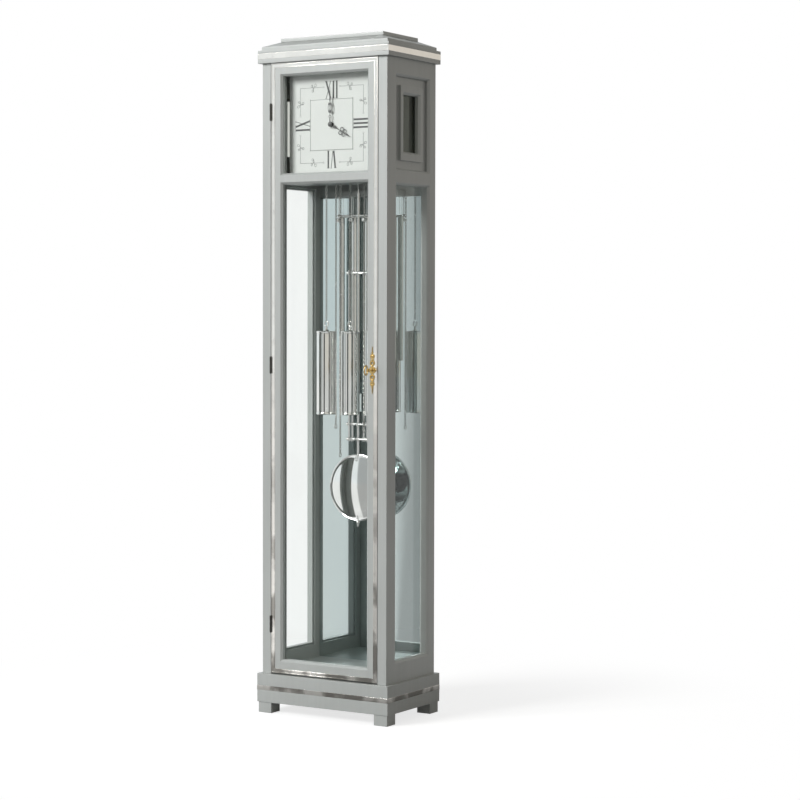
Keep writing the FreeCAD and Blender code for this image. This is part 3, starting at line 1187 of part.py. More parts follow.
def hand(name, label, long, bore, low, angle):
    """One hand on its pipe."""
    deep = (low, f"({low} + HandThick)")
    solids = [rod(name + "Hub", "HandHub", "0", deep, DIAL_MIDDLE)]
    solids.append(
        block(
            name + "Stem",
            ("-HandHalf", "HandHalf"),
            deep,
            (DIAL_MIDDLE, f"{DIAL_MIDDLE} + {long} * {TIP_SHARE}"),
        )
    )
    holes = [rod(name + "Bore", bore, "0", deep, DIAL_MIDDLE)]
    for count, (place, scale) in enumerate(zip(LOOP_SHARES, LOOP_SIZE_SHARES)):
        height = f"{DIAL_MIDDLE} + {long} * {place}"
        solids.append(rod(f"{name}Loop{count}", f"HandLoop * {scale}", "0", deep, height))
        holes.append(rod(f"{name}Eye{count}", f"HandLoop * {scale} - HandWire", "0", deep, height))
    tip = doc.addObject("Part::Wedge", name + "Tip")
    tip.Placement.Rotation = Rotation(Vector(1, 0, 0), 90)
    bind(
        tip,
        ("Xmin", "-HandLoop / 2"),
        ("Xmax", "HandLoop / 2"),
        ("X2min", "-HandThick / 4"),
        ("X2max", "HandThick / 4"),
    )
    bind(tip, ("Zmin", "0"), ("Zmax", "HandThick"), ("Z2min", "0"), ("Z2max", "HandThick"))
    bind(tip, ("Ymin", f"{long} * {TIP_SHARE}"), ("Ymax", long))
    at(tip, "0", deep[1], DIAL_MIDDLE)
    solids.append(tip)
    item = cut(name, join(name + "Body", *solids), *holes)
    centre = Vector(0, 0, points["Centre"].Placement.Base.z)
    item.Placement = Placement(Vector(), Rotation(Vector(0, 1, 0), angle), centre)
    return node(item, label)


hour_face = f"({DIAL_FACE} - DialRaise - HandGap)"
minute_face = f"({DIAL_FACE} - DialRaise - 2 * HandGap - HandThick)"
hand("HourHand", "hour_hand", "HourHandLong", "HourPipeRadius", hour_face, size["HourAngle"])
hand("MinuteHand", "minute_hand", "MinuteHandLong", "CannonRadius", minute_face, 0)
nut = rod("HandNutDisc", "NutRadius", "0", (NUT_FRONT, minute_face), DIAL_MIDDLE)
nut_bore = rod("HandNutBore", "CentreRadius", "0", (NUT_FRONT, minute_face), DIAL_MIDDLE)
node(cut("HandNut", nut, nut_bore), "hand_nut")

# Sprockets: grooved drums that the chains turn; the outer two carry their own arbors
DRUM_FRONT = "(ChainPlane - SprocketWidth / 2)"
DRUM_REAR = "(ChainPlane + SprocketWidth / 2)"
GROOVE = (
    ("SprocketFlange", "ChainPlane - SprocketGroove / 2"),
    ("ChainSpan / 2 - ChainRadius - SprocketPlay", "ChainPlane - SprocketGroove / 2"),
    ("ChainSpan / 2 - ChainRadius - SprocketPlay", "ChainPlane + SprocketGroove / 2"),
    ("SprocketFlange", "ChainPlane + SprocketGroove / 2"),
)
DRUM = (("SprocketFlange", DRUM_FRONT),) + GROOVE + (("SprocketFlange", DRUM_REAR),)
REAR_SHAKE = f"({PLATE_REAR} - MovementPlate - EndShake)"
FRONT_SHAKE = f"({PLATE_FRONT} + MovementPlate + EndShake)"
OWN_ARBOR_FRONT = (
    ("0", PLATE_FRONT),
    ("PivotRadius", PLATE_FRONT),
    ("PivotRadius", FRONT_SHAKE),
    ("WinderArbor", FRONT_SHAKE),
    ("WinderArbor", DRUM_FRONT),
)
OWN_ARBOR_REAR = (
    ("WinderArbor", DRUM_REAR),
    ("WinderArbor", REAR_SHAKE),
    ("PivotRadius", REAR_SHAKE),
    ("PivotRadius", PLATE_REAR),
    ("0", PLATE_REAR),
)
LOOSE = (("WinderArbor + PivotFit", DRUM_FRONT),) + DRUM + (("WinderArbor + PivotFit", DRUM_REAR),)
for part, arbor_name, outline in (
    ("Left", "Left", OWN_ARBOR_FRONT + DRUM + OWN_ARBOR_REAR),
    ("Centre", "Great", LOOSE),
    ("Right", "Right", OWN_ARBOR_FRONT + DRUM + OWN_ARBOR_REAR),
):
    drum = lathe("Sprocket" + part, outline)
    drum.Placement.Rotation = Rotation(Vector(1, 0, 0), -90)
    x, z = ARBORS[arbor_name]
    node(at(drum, x, "0", z), "sprocket_" + part.lower())

# Weights on their chains: each chain runs up from a weight, over its sprocket and down to a loose end
UPRIGHT = Rotation(Vector(1, 0, 0), 90)
EDGEWAYS = Rotation(Vector(0, 1, 0), 90)
WEIGHT_BASE = f"({SEAT_LOW} - WeightDrop)"
WEIGHT_TOP = f"({WEIGHT_BASE} + WeightLong)"
HOOK_TOP = f"({WEIGHT_TOP} + HookRise)"
STEM_TOP = f"({HOOK_TOP} - 2 * HookRing - HookWire)"
WEIGHT_OUTLINE = (
    ("0", WEIGHT_BASE),
    ("WeightRadius + CapLip", WEIGHT_BASE),
    ("WeightRadius + CapLip", f"{WEIGHT_BASE} + WeightCap"),
    ("WeightRadius", f"{WEIGHT_BASE} + WeightCap"),
    ("WeightRadius", f"{WEIGHT_TOP} - WeightCap"),
    ("WeightRadius + CapLip", f"{WEIGHT_TOP} - WeightCap"),
    ("WeightRadius + CapLip", WEIGHT_TOP),
    ("HookWire", WEIGHT_TOP),
    ("HookWire", STEM_TOP),
    ("0", STEM_TOP),
)
for part, x, rise, drive, free_drop in CHAINS:
    rise = rise or SPROCKET_RISE
    free_end = f"({SEAT_LOW} - {free_drop})"
    drive_x = f"({x} + {drive} * ChainSpan / 2)"
    free_x = f"({x} - {drive} * ChainSpan / 2)"
    up = post("ChainDrive" + part, "ChainRadius", drive_x, "ChainPlane", (f"{HOOK_TOP} + SeatGap", rise))
    down = post("ChainFree" + part, "ChainRadius", free_x, "ChainPlane", (free_end, rise))
    over = ring("ChainOver" + part, "ChainSpan / 2", "ChainRadius", x, "ChainPlane", rise, UPRIGHT)
    over.Angle3 = 180
    node(join("Chain" + part, up, over, down), "chain_" + part.lower())

    end_z = f"({free_end} - SeatGap - EndRing - EndWire)"
    end_ring = ring("ChainEnd" + part, "EndRing", "EndWire", free_x, "ChainPlane", end_z, EDGEWAYS)
    node(end_ring, "chain_end_" + part.lower())

    body = lathe("WeightBody" + part, WEIGHT_OUTLINE)
    at(body, drive_x, "ChainPlane", "0")
    hook_z = f"({HOOK_TOP} - HookRing - HookWire)"
    hook = ring("WeightHook" + part, "HookRing", "HookWire", drive_x, "ChainPlane", hook_z, UPRIGHT)
    node(join("Weight" + part, body, hook), "weight_" + part.lower())

# Pendulum: suspension spring, main rod, a grid of four outer rods on cross bars, bob and rating nut
spring_z = (f"{PIVOT} - SpringDrop", f"{PIVOT} + SpringRise")
spring_x = ("-SpringThick / 2", "SpringThick / 2")
spring_y = ("PendulumPlane - SpringWidth / 2", "PendulumPlane + SpringWidth / 2")
BOB_RISE = f"({PIVOT} - PendulumLong)"
bob_low = f"({BOB_RISE} - BobRadius - BobRim)"
nut_low = f"({bob_low} - NutDrop - RatingTall)"
pendulum = [block("Spring", spring_x, spring_y, spring_z)]
pendulum.append(
    post("MainRod", "RodRadius", "0", "PendulumPlane", (f"{nut_low} + RatingTall / 2", spring_z[0]))
)
pendulum.append(
    block(
        "SpringChops",
        ("-RodRadius", "RodRadius"),
        spring_y,
        (f"{spring_z[0]} - RodRadius", f"{spring_z[0]} + RodRadius"),
    )
)
for side, sign in (("Left", -1), ("Right", 1)):
    for kind in ("Outer", "Inner"):
        pendulum.append(
            post(
                f"Grid{kind}{side}",
                "GridRadius",
                f"{sign} * Grid{kind}",
                "PendulumPlane",
                (f"{BOB_RISE} + GridBottom", f"{BOB_RISE} + GridTop"),
            )
        )
for level in ("Top", "Middle", "Bottom"):
    height = f"{BOB_RISE} + Grid{level}"
    pendulum.append(bar("CrossBar" + level, "BarRadius", ("-BarHalf", "BarHalf"), "PendulumPlane", height))
    for side, sign in (("Left", -1), ("Right", 1)):
        pendulum.append(
            ball(f"BarBall{level}{side}", "BallRadius", f"{sign} * BarHalf", "PendulumPlane", height)
        )
node(join("PendulumRod", *pendulum), "pendulum_rod")

dome = "((BobRadius ^ 2 + BobHalf ^ 2) / (2 * BobHalf))"
front_dome = ball("BobFront", dome, "0", f"PendulumPlane + {dome} - BobHalf", BOB_RISE)
rear_dome = ball("BobRear", dome, "0", f"PendulumPlane - {dome} + BobHalf", BOB_RISE)
lens = doc.addObject("Part::MultiCommon", "BobLens")
lens.Shapes = [front_dome, rear_dome]
bead = ring("BobBead", "BobRadius", "BobRim", "0", "PendulumPlane", BOB_RISE, UPRIGHT)
bob_bore = post("BobBore", "RodRadius", "0", "PendulumPlane", (bob_low, f"{BOB_RISE} + BobRadius + BobRim"))
node(cut("PendulumBob", join("BobBody", lens, bead), bob_bore), "pendulum_bob")

rating = lathe(
    "RatingNut",
    (
        ("0", f"{nut_low} - TipLong"),
        ("HandThick / 2", f"{nut_low} - TipLong"),
        ("TipRadius", nut_low),
        ("RatingRadius", nut_low),
        ("RatingRadius", f"{nut_low} + RatingTall"),
        ("RodRadius", f"{nut_low} + RatingTall"),
        ("RodRadius", f"{nut_low} + RatingTall / 2"),
        ("0", f"{nut_low} + RatingTall / 2"),
    ),
)
node(at(rating, "0", "PendulumPlane", "0"), "rating_nut")

# Chimes: a rack on the back panel, five hanging tubes with their wire hangers, and a hammer for each
rack_out = "((TubeCount - 1) * TubeSpacing / 2 + RackEnd)"
rack_x = (f"-{rack_out}", rack_out)
rack_z = (RACK_BASE, f"{RACK_BASE} + RackHeight")
node(block("TubeRack", rack_x, (RACK_FRONT, BACK_FACE), rack_z), "tube_rack")
tubes = []
hammers = []
for count in range(int(size["TubeCount"])):
    x = f"(({count} - (TubeCount - 1) / 2) * TubeSpacing)"
    low = f"({TUBE_TOP} - TubeLong + {count} * TubeStep)"
    outer = post(f"Tube{count}", "TubeRadius", x, TUBE_BACK, (low, TUBE_TOP))
    inner = post(f"TubeBore{count}", "TubeRadius - TubeWall", x, TUBE_BACK, (low, f"{TUBE_TOP} - TubeCap"))
    hangers = [
        post(
            f"Hanger{count}{side}",
            "HangerRadius",
            f"{x} + {sign} * TubeRadius / 2",
            TUBE_BACK,
            (TUBE_TOP, RACK_BASE),
        )
        for side, sign in (("Left", -1), ("Right", 1))
    ]
    tubes.append(join(f"TubeAndHangers{count}", cut(f"TubeShell{count}", outer, inner), *hangers))
    head_high = f"{TUBE_BACK} - TubeRadius - HammerGap"
    head = rod(
        f"HammerHead{count}",
        "HammerRadius",
        x,
        (f"{head_high} - HammerLong", head_high),
        f"{RACK_BASE} - HammerDrop",
    )
    arm_y = f"({RACK_FRONT} + 2 * HammerWire)"
    arm = post(f"HammerArm{count}", "HammerWire", x, arm_y, (f"{RACK_BASE} - HammerDrop", RACK_BASE))
    hammers.append(join(f"Hammer{count}", head, arm))
node(group("ChimeTubes", *tubes), "chime_tubes")
node(group("ChimeHammers", *hammers), "chime_hammers")

# Check every object and every sub-part, then write the sub-parts
doc.recompute()
faults = [item.Name for item in doc.Objects if "Invalid" in item.State or "Error" in item.State]
faults += [item.Label for item in nodes if item.Shape.isNull() or not item.Shape.isValid()]
if faults:
    raise SystemExit("faulty: " + ", ".join(faults))
for item in nodes:
    item.Shape.exportStep(f"parts/{item.Label}.step")
print(len(nodes), "sub-parts written")
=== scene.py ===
import json
import math

import bpy
from mathutils import Matrix, Vector


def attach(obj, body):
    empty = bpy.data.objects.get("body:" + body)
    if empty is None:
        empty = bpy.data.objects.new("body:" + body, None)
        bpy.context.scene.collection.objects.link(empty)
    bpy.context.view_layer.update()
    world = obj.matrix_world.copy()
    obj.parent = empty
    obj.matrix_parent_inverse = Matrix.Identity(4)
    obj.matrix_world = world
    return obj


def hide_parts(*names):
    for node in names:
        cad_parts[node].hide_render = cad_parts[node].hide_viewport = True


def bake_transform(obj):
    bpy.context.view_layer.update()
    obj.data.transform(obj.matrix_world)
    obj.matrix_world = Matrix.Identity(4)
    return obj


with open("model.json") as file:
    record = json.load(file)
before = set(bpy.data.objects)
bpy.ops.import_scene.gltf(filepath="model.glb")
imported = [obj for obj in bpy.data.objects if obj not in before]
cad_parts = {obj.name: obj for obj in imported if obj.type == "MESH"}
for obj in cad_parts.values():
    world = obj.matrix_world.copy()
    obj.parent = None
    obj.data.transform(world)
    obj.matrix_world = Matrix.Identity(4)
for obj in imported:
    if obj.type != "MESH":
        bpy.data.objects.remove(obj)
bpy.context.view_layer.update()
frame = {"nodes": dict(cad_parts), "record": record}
MM = 0.001

# Camera
# The photograph was taken from a few paces to the clock's right, at about half its height, with a long lens.
# Its place, turn and lens were fitted to the corners of the case.
CAMERA_PLACE = Vector((3518.73, -5417.19, 1183.67)) * MM
CAMERA_TURN = math.radians(31.579)
CAMERA_DIP = math.radians(2.223)
CAMERA_ROLL = math.radians(0.134)
LENS = 98.098
SENSOR = 36

bpy.ops.object.camera_add(location=CAMERA_PLACE)
camera = bpy.context.object
aim = Matrix.Rotation(CAMERA_TURN, 4, "Z") @ Matrix.Rotation(math.pi / 2 - CAMERA_DIP, 4, "X")
camera.matrix_world = Matrix.Translation(CAMERA_PLACE) @ aim @ Matrix.Rotation(CAMERA_ROLL, 4, "Z")
camera.data.lens = LENS
camera.data.sensor_width = SENSOR
bpy.context.scene.camera = camera
bpy.context.scene.view_settings.view_transform = "Standard"

# Case
# The case is made of boards sprayed with a silver-grey metallic lacquer, flatted and sprayed again. Its edges
# are painted lighter, partly as wear where they are rubbed through a little and partly as a painted highlight
# where they catch the light. Sizes here and below are in millimetres, and y counts from the middle of the
# case's depth.
CASE_MIDDLE = 16.5
LACQUER = (0.51, 0.53, 0.515)
LACQUER_DARK = (0.44, 0.46, 0.445)
# Flakes and edges take this lighter colour; on the edges it is partly wear and partly a painted highlight.
LACQUER_FLAKE_WEAR_AND_HIGHLIGHT = (0.66, 0.68, 0.67)
INSIDE = (0.46, 0.49, 0.48)
INSIDE_DARK = (0.40, 0.43, 0.42)
# Flakes and edges inside take this lighter colour; on the edges it is partly wear and partly a painted
# highlight.
INSIDE_FLAKE_WEAR_AND_HIGHLIGHT = (0.55, 0.57, 0.56)
FLOOR = (0.62, 0.67, 0.66)
FLOOR_DARK = (0.55, 0.61, 0.60)
PEEL_SIZE = 160
PEEL_DEPTH = 0.03
FLAKE_SIZE = 2600


class Value:
    """One output of a tree of nodes, to be added, scaled and compared like a number."""

    def __init__(self, nodes, socket):
        self.nodes = nodes
        self.socket = socket

    def math(self, operation, first, second=0.0):
        return self.nodes.node("Math", {"operation": operation}, {0: first, 1: second})

    def __add__(self, other):
        return self.math("ADD", self, other)

    def __sub__(self, other):
        return self.math("SUBTRACT", self, other)

    def __rsub__(self, other):
        return self.math("SUBTRACT", other, self)

    def __mul__(self, other):
        return self.math("MULTIPLY", self, other)

    __radd__ = __add__
    __rmul__ = __mul__

    def most(self, other):
        return self.math("MAXIMUM", self, other)

    def ramp(self, low, high):
        """Runs from zero to one between two values."""
        settings = {"interpolation_type": "SMOOTHSTEP", "clamp": True}
        return self.nodes.node("MapRange", settings, {"Value": self, "From Min": low, "From Max": high})


class Nodes:
    """A tree of shader nodes, with one method for any node and a few that this clock's finishes share."""

    def __init__(self, tree):
        self.tree = tree

    def node(self, kind, settings, sockets, output=0):
        node = self.tree.nodes.new("ShaderNode" + kind)
        for name, value in settings.items():
            setattr(node, name, value)
        for name, value in sockets.items():
            self.feed(node.inputs[name], value)
        return Value(self, node.outputs[output])

    def feed(self, socket, value):
        if isinstance(value, Value):
            self.tree.links.new(value.socket, socket)
        elif isinstance(value, tuple) and len(value) == 3 and socket.type == "RGBA":
            socket.default_value = (*value, 1)
        else:
            socket.default_value = value

    def place(self):
        """Where a point lies on the object, in metres."""
        return self.node("TexCoord", {}, {}, "Object")

    def axes(self, place):
        """The three parts of a place."""
        return [self.node("SeparateXYZ", {}, {0: place}, axis) for axis in "XYZ"]

    def noise(self, scale, detail=2.0, place=None):
        sockets = {"Vector": place or self.place(), "Scale": scale, "Detail": detail}
        return self.node("TexNoise", {}, sockets, "Fac")

    def drawn(self, scale):
        """The place with each axis scaled, for a grain that runs one way."""
        return self.node("Mapping", {}, {"Vector": self.place(), "Scale": scale})

    def blend(self, share, first, second):
        """A colour between two others."""
        return self.node("Mix", {"data_type": "RGBA"}, {"Factor": share, 6: first, 7: second}, 2)

    def relief(self, height, depth):
        """Normals of a surface that rises by a height times a depth in millimetres."""
        return self.node("Bump", {}, {"Height": height, "Distance": depth * MM})

    def edges(self, width):
        """One along a piece's edges and zero on its flats."""
        rounded = self.node("Bevel", {"samples": 4}, {"Radius": width * MM})
        flat = self.node("NewGeometry", {}, {}, "Normal")
        along = self.node("VectorMath", {"operation": "DOT_PRODUCT"}, {0: rounded, 1: flat}, "Value")
        return (1 - along).ramp(0.01, 0.25)


class Finish(Nodes):
    """A material with one principled surface."""

    def __init__(self, name, **surface):
        self.material = bpy.data.materials.new(name)
        self.material.use_nodes = True
        super().__init__(self.material.node_tree)
        self.surface = self.tree.nodes["Principled BSDF"]
        self.set(**surface)

    def set(self, **surface):
        for name, value in surface.items():
            self.feed(self.surface.inputs[name.replace("_", " ").title()], value)
        return self

    def output(self, shader):
        self.tree.links.new(shader.socket, self.tree.nodes["Material Output"].inputs["Surface"])


def at(x, y, z):
    """A point of the clock in metres."""
    return Vector((x, y + CASE_MIDDLE, z)) * MM


def select_only(*pieces):
    bpy.ops.object.select_all(action="DESELECT")
    for piece in pieces:
        piece.select_set(True)
    bpy.context.view_layer.objects.active = pieces[0]


def smooth(piece, angle=35):
    select_only(piece)
    bpy.ops.object.shade_smooth_by_angle(angle=math.radians(angle))
    return piece


def joined(pieces):
    """Several pieces made one."""
    select_only(*pieces)
    bpy.ops.object.transform_apply(location=True, rotation=True, scale=True)
    if len(pieces) > 1:
        bpy.ops.object.join()
    return bpy.context.object


def modified(piece, kind, **settings):
    """A piece with one modifier applied."""
    select_only(piece)
    bpy.ops.object.modifier_add(type=kind)
    modifier = piece.modifiers[-1]
    for name, value in settings.items():
        setattr(modifier, name, value)
    bpy.ops.object.modifier_apply(modifier=modifier.name)
    return piece


def rounded(piece, width, segments=2, angle=32):
    """A piece with its sharp edges rounded and its flats shaded flat."""
    limit = math.radians(angle)
    ease = {"limit_method": "ANGLE", "angle_limit": limit, "miter_outer": "MITER_ARC"}
    smooth(modified(piece, "BEVEL", width=width * MM, segments=segments, **ease))
    return modified(piece, "WEIGHTED_NORMAL", mode="FACE_AREA", weight=100, keep_sharp=True)


def eased(node, width=1.0, segments=2):
    """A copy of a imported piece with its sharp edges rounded."""
    piece = bpy.data.objects.new(node + "_eased", frame["nodes"][node].data.copy())
    bpy.context.scene.collection.objects.link(piece)
    select_only(piece)
    if piece.data.has_custom_normals:
        bpy.ops.mesh.customdata_custom_splitnormals_clear()
    bpy.ops.object.mode_set(mode="EDIT")
    bpy.ops.mesh.select_all(action="SELECT")
    bpy.ops.mesh.remove_doubles(threshold=0.01 * MM)
    bpy.ops.object.mode_set(mode="OBJECT")
    return rounded(piece, width, segments)


def settle(piece, name, finish, body, *nodes, slot=None):
    """Ends a piece: its place goes into its mesh, and it gets its name, finish and body."""
    select_only(piece)
    bpy.ops.object.transform_apply(location=True, rotation=True, scale=True)
    piece.name = name
    piece.data.materials.clear()
    piece.data.materials.append(finish.material)
    if body:
        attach(piece, body)
    if nodes:
        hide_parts(*nodes)
    return piece


def lacquered(name, light, dark, flake_wear_and_highlight):
    """Metallic lacquer: clouds of faint shade, wiping marks, fine flakes, orange peel and worn edges with
    painted highlight.
    """
    finish = Finish(name, metallic=0.12, coat_weight=0.12)
    clouds = finish.noise(3.0, 3.0).ramp(0.35, 0.7)
    wiping = finish.noise(1.0, 3.0, finish.drawn((90.0, 90.0, 3.5))).ramp(0.3, 0.7)
    flakes = finish.noise(FLAKE_SIZE, 0.0).ramp(0.55, 0.75)
    body = finish.blend(clouds * 0.6 + wiping * 0.25, light, dark)
    body = finish.blend(flakes * 0.12, body, flake_wear_and_highlight)
    # Edges painted lighter: partly rubbed wear, partly a painted highlight where they catch the light.
    body = finish.blend(finish.edges(0.9) * 0.25, body, flake_wear_and_highlight)
    peel = finish.noise(PEEL_SIZE, 2.0)
    rough = 0.36 + clouds * 0.06 + flakes * 0.06
    return finish.set(base_color=body, roughness=rough, normal=finish.relief(peel, PEEL_DEPTH))


lacquer = lacquered("silver_lacquer", LACQUER, LACQUER_DARK, LACQUER_FLAKE_WEAR_AND_HIGHLIGHT)
inside_lacquer = lacquered("inside_lacquer", INSIDE, INSIDE_DARK, INSIDE_FLAKE_WEAR_AND_HIGHLIGHT)
for node, ease in (
    ("feet", 1.5),
    ("plinth", 1.4),
    ("cornice", 1.4),
    ("crown_moulding", 1.0),
    ("top_slab", 1.4),
    ("side_frame_left", 1.0),
    ("side_frame_right", 1.0),
    ("hood_panels", 0.8),
):
    settle(eased(node, ease), "case_" + node, lacquer, "case", node, slot="lacquer")
for node in ("case_top", "back_panel", "seat_board"):
    settle(eased(node, 0.8), "inside_" + node, inside_lacquer, "case", node, slot="lacquer_inside")
floor_lacquer = lacquered("floor_lacquer", FLOOR, FLOOR_DARK, LACQUER_FLAKE_WEAR_AND_HIGHLIGHT)
floor_lacquer.set(coat_weight=0.8, coat_roughness=0.08)
floor_board = eased("case_floor", 0.8)
settle(floor_board, "inside_case_floor", floor_lacquer, "case", "case_floor", slot="lacquer_inside")

# Steel strips
# Strips of polished stainless steel are let into the plinth and the cornice and run round the door's face,
# there with a bead along both edges. They were polished on a belt, and hazy wiping marks lie on them. Dark
# reflections are painted on them in patches, thickest near the floor.
FORWARD = (math.pi / 2, 0, 0)
STRIP_FACE = -134.8
STRIP_MIDDLE = 1022
STRIP_BEADS = ((183.0, 898.5), (173.6, 889.1))
BEAD_WIRE = 1.3
BEAD_START = 10
STEEL = (0.86, 0.84, 0.795)
# Colour of the dark reflections painted on the steel, thickest near the floor.
STEEL_PAINTED_REFLECTION = (0.20, 0.19, 0.17)


def polished(name, colour, rough, haze, painted_reflection=None):
    """Polished metal with a haze of wiping marks, and with dark reflections painted in patches near the floor
    if their colour is given.
    """
    finish = Finish(name, metallic=1.0)
    wiped = finish.noise(18.0, 4.0)
    smudge = finish.noise(55.0, 3.0).ramp(0.5, 0.75)
    shade = finish.blend(wiped.ramp(0.3, 0.7) * 0.5, colour, tuple(0.88 * part for part in colour))
    if painted_reflection:
        # Dark reflections painted into the colour in patches, thickest near the floor.
        low = 1 - finish.axes(finish.place())[2].ramp(0.1, 1.2)
        reflection_patches = finish.noise(1.0, 4.0, finish.drawn((10.0, 10.0, 8.0))).ramp(0.46, 0.60)
        shade = finish.blend(reflection_patches * low * 0.85, shade, painted_reflection)
    fine = finish.noise(900.0, 1.0)
    return finish.set(
        base_color=shade, roughness=rough + smudge * haze + wiped * haze, normal=finish.relief(fine, 0.0008)
    )


def ring(radius, wire, place, turn=(0, 0, 0), stretch=(1, 1, 1), around=24, across=8):
    """A ring of round wire, lying flat unless it is turned."""
    bpy.ops.mesh.primitive_torus_add(
        major_segments=around, minor_segments=across, major_radius=radius * MM, minor_radius=wire * MM
    )
    piece = bpy.context.object
    piece.scale = stretch
    bpy.ops.object.transform_apply(location=True, rotation=True, scale=True)
    piece.location = place
    piece.rotation_euler = turn
    return smooth(piece, 60)


def pulled(piece, reach, along):
    """A ring drawn out both ways along one of its own axes."""
    for sign in (-1, 1):
        bpy.ops.object.mode_set(mode="EDIT")
        bpy.ops.mesh.select_all(action="DESELECT")
        bpy.ops.object.mode_set(mode="OBJECT")
        for vertex in piece.data.vertices:
            vertex.select = sign * vertex.co[along] > 0.05 * MM
        bpy.ops.object.mode_set(mode="EDIT")
        shift = [0, 0, 0]
        shift[along] = sign * reach * MM
        bpy.ops.transform.translate(value=shift)
        bpy.ops.object.mode_set(mode="OBJECT")
    return piece


# The steel gets painted dark reflections, thickest near the floor.
steel = polished("polished_steel", STEEL, 0.07, 0.06, STEEL_PAINTED_REFLECTION)
settle(eased("case_strips", 0.7, 3), "case_steel_strips", steel, "case", "case_strips", slot="bright_steel")
strip = [eased("door_strip", 0.4)]
start = BEAD_START * math.sqrt(0.5)
for across, tall in STRIP_BEADS:
    bead = ring(BEAD_START, BEAD_WIRE, (0, 0, 0), (0, 0, math.pi / 4), around=4, across=10)
    bpy.ops.object.transform_apply(location=True, rotation=True, scale=True)
    pulled(pulled(bead, across - start, 0), tall - start, 1)
    bead.rotation_euler = FORWARD
    bead.location = at(0, STRIP_FACE, STRIP_MIDDLE)
    strip.append(bead)
settle(joined(strip), "door_steel_strip", steel, "door", "door_strip", slot="bright_steel")

# Panes and mirror
# Every pane is clear float glass, four millimetres thick, with a faint green cast. The hood's small side
# panes are a little smoked. The back of the trunk is one silvered mirror, a little blue, with its edge
# bevelled.
GLASS_TINT = (0.982, 0.988, 0.984)
DARK_TINT = (0.80, 0.81, 0.78)
GLASS_SHINE = (0.9, 0.95, 0.94)
GLASS_DUST = (0.8, 0.85, 0.84)
MIRROR_TINT = (0.595, 0.655, 0.655)
MIRROR_SHADE = (0.535, 0.60, 0.605)


def clear_glass(name, tint, shine):
    """Clear sheet that lets light straight through and shines at a slant."""
    finish = Finish(name)
    dust = finish.noise(35.0, 4.0).ramp(0.5, 0.8)
    through = finish.node("BsdfTransparent", {}, {"Color": tint})
    slant = finish.node("LayerWeight", {}, {"Blend": 0.12}, "Fresnel")
    finish.set(base_color=finish.blend(dust, GLASS_SHINE, GLASS_DUST), metallic=1.0, roughness=0.02)
    gloss = Value(finish, finish.surface.outputs[0])
    finish.output(finish.node("MixShader", {}, {0: slant * shine + dust * 0.012, 1: through, 2: gloss}))
    return finish


glass = clear_glass("clear_glass", GLASS_TINT, 0.8)
dark_glass = clear_glass("dark_glass", DARK_TINT, 1.2)
settle(eased("side_glass", 0.5), "glazing_sides", glass, "case", "side_glass", slot="pane")
settle(eased("door_glass", 0.5), "glazing_door", glass, "door", "door_glass", slot="pane")
settle(eased("hood_panes", 0.5), "glazing_hood", dark_glass, "case", "hood_panes", slot="pane")
silvered = Finish("silvered_mirror", metallic=1.0)
fog = silvered.noise(2.0, 2.0)
spots = silvered.noise(130.0, 3.0).ramp(0.72, 0.8)
backing = silvered.blend(fog, MIRROR_TINT, MIRROR_SHADE)
silvered.set(base_color=backing, roughness=0.015 + fog * 0.02 + spots * 0.1)
settle(eased("back_mirror", 1.2), "trunk_mirror", silvered, "case", "back_mirror", slot="mirror")

# Door
# The door is a lacquered frame with a rail between its two windows. Each pane lies in a rebate from behind,
# and lacquered beads with small steel pins hold it there.
PIN_RADIUS = 1.1
BEAD_Y = -110
BEAD_X = 150.5
PIN_HEIGHTS = (200, 470, 740, 1010, 1280, 1540, 1630, 1742, 1855)
PIN_HEAD = ((PIN_RADIUS, -0.6), (PIN_RADIUS, 0.3), (0.6 * PIN_RADIUS, 0.55))
RIGHTWARD = (0, math.pi / 2, 0)
BACKWARD = (-math.pi / 2, 0, 0)


def turned(outline, place, turn=(0, 0, 0), sides=32):
    """A piece turned on a lathe, drawn out from each radius and height of its outline to the next."""
    radius, height = outline[0]
    bpy.ops.mesh.primitive_circle_add(
        vertices=sides, radius=radius * MM, fill_type="NGON", location=(0, 0, height * MM)
    )
    piece = bpy.context.object
    bpy.ops.object.mode_set(mode="EDIT")
    for (last, low), (radius, high) in zip(outline, outline[1:]):
        bpy.ops.mesh.extrude_region_move(TRANSFORM_OT_translate={"value": (0, 0, (high - low) * MM)})
        share = radius / last
        bpy.ops.transform.resize(value=(share, share, 1), center_override=(0, 0, high * MM))
    bpy.ops.mesh.select_all(action="SELECT")
    bpy.ops.mesh.normals_make_consistent(inside=False)
    bpy.ops.object.mode_set(mode="OBJECT")
    bpy.ops.object.transform_apply(location=True, rotation=True, scale=True)
    piece.location = place
    piece.rotation_euler = turn
    return smooth(piece)


settle(eased("door_frame", 1.0), "door_leaf", lacquer, "door", "door_frame", slot="lacquer")
settle(eased("door_beads", 0.6), "door_glazing_beads", lacquer, "door", "door_beads", slot="lacquer")
pins = []
for height in PIN_HEIGHTS:
    for side in (-1, 1):
        pins.append(turned(PIN_HEAD, at(side * BEAD_X, BEAD_Y, height), BACKWARD, 10))
settle(joined(pins), "door_bead_pins", steel, "door")

# Hinges
# Three steel butt hinges, blued almost black. One leaf of each is fixed to the case and the other to the
# door, and a loose pin with turned tips joins them.
BLUED = (0.07, 0.07, 0.065)

blued = polished("blued_steel", BLUED, 0.3, 0.15)
for node, ease, name, body in (
    ("hinge_case_leaves", 0.3, "hinge_plates_case", "case"),
    ("hinge_door_leaves", 0.3, "hinge_plates_door", "door"),
    ("hinge_pins", 0.4, "hinge_loose_pins", "case"),
):
    settle(eased(node, ease), name, blued, body, node, slot="hinge_steel")

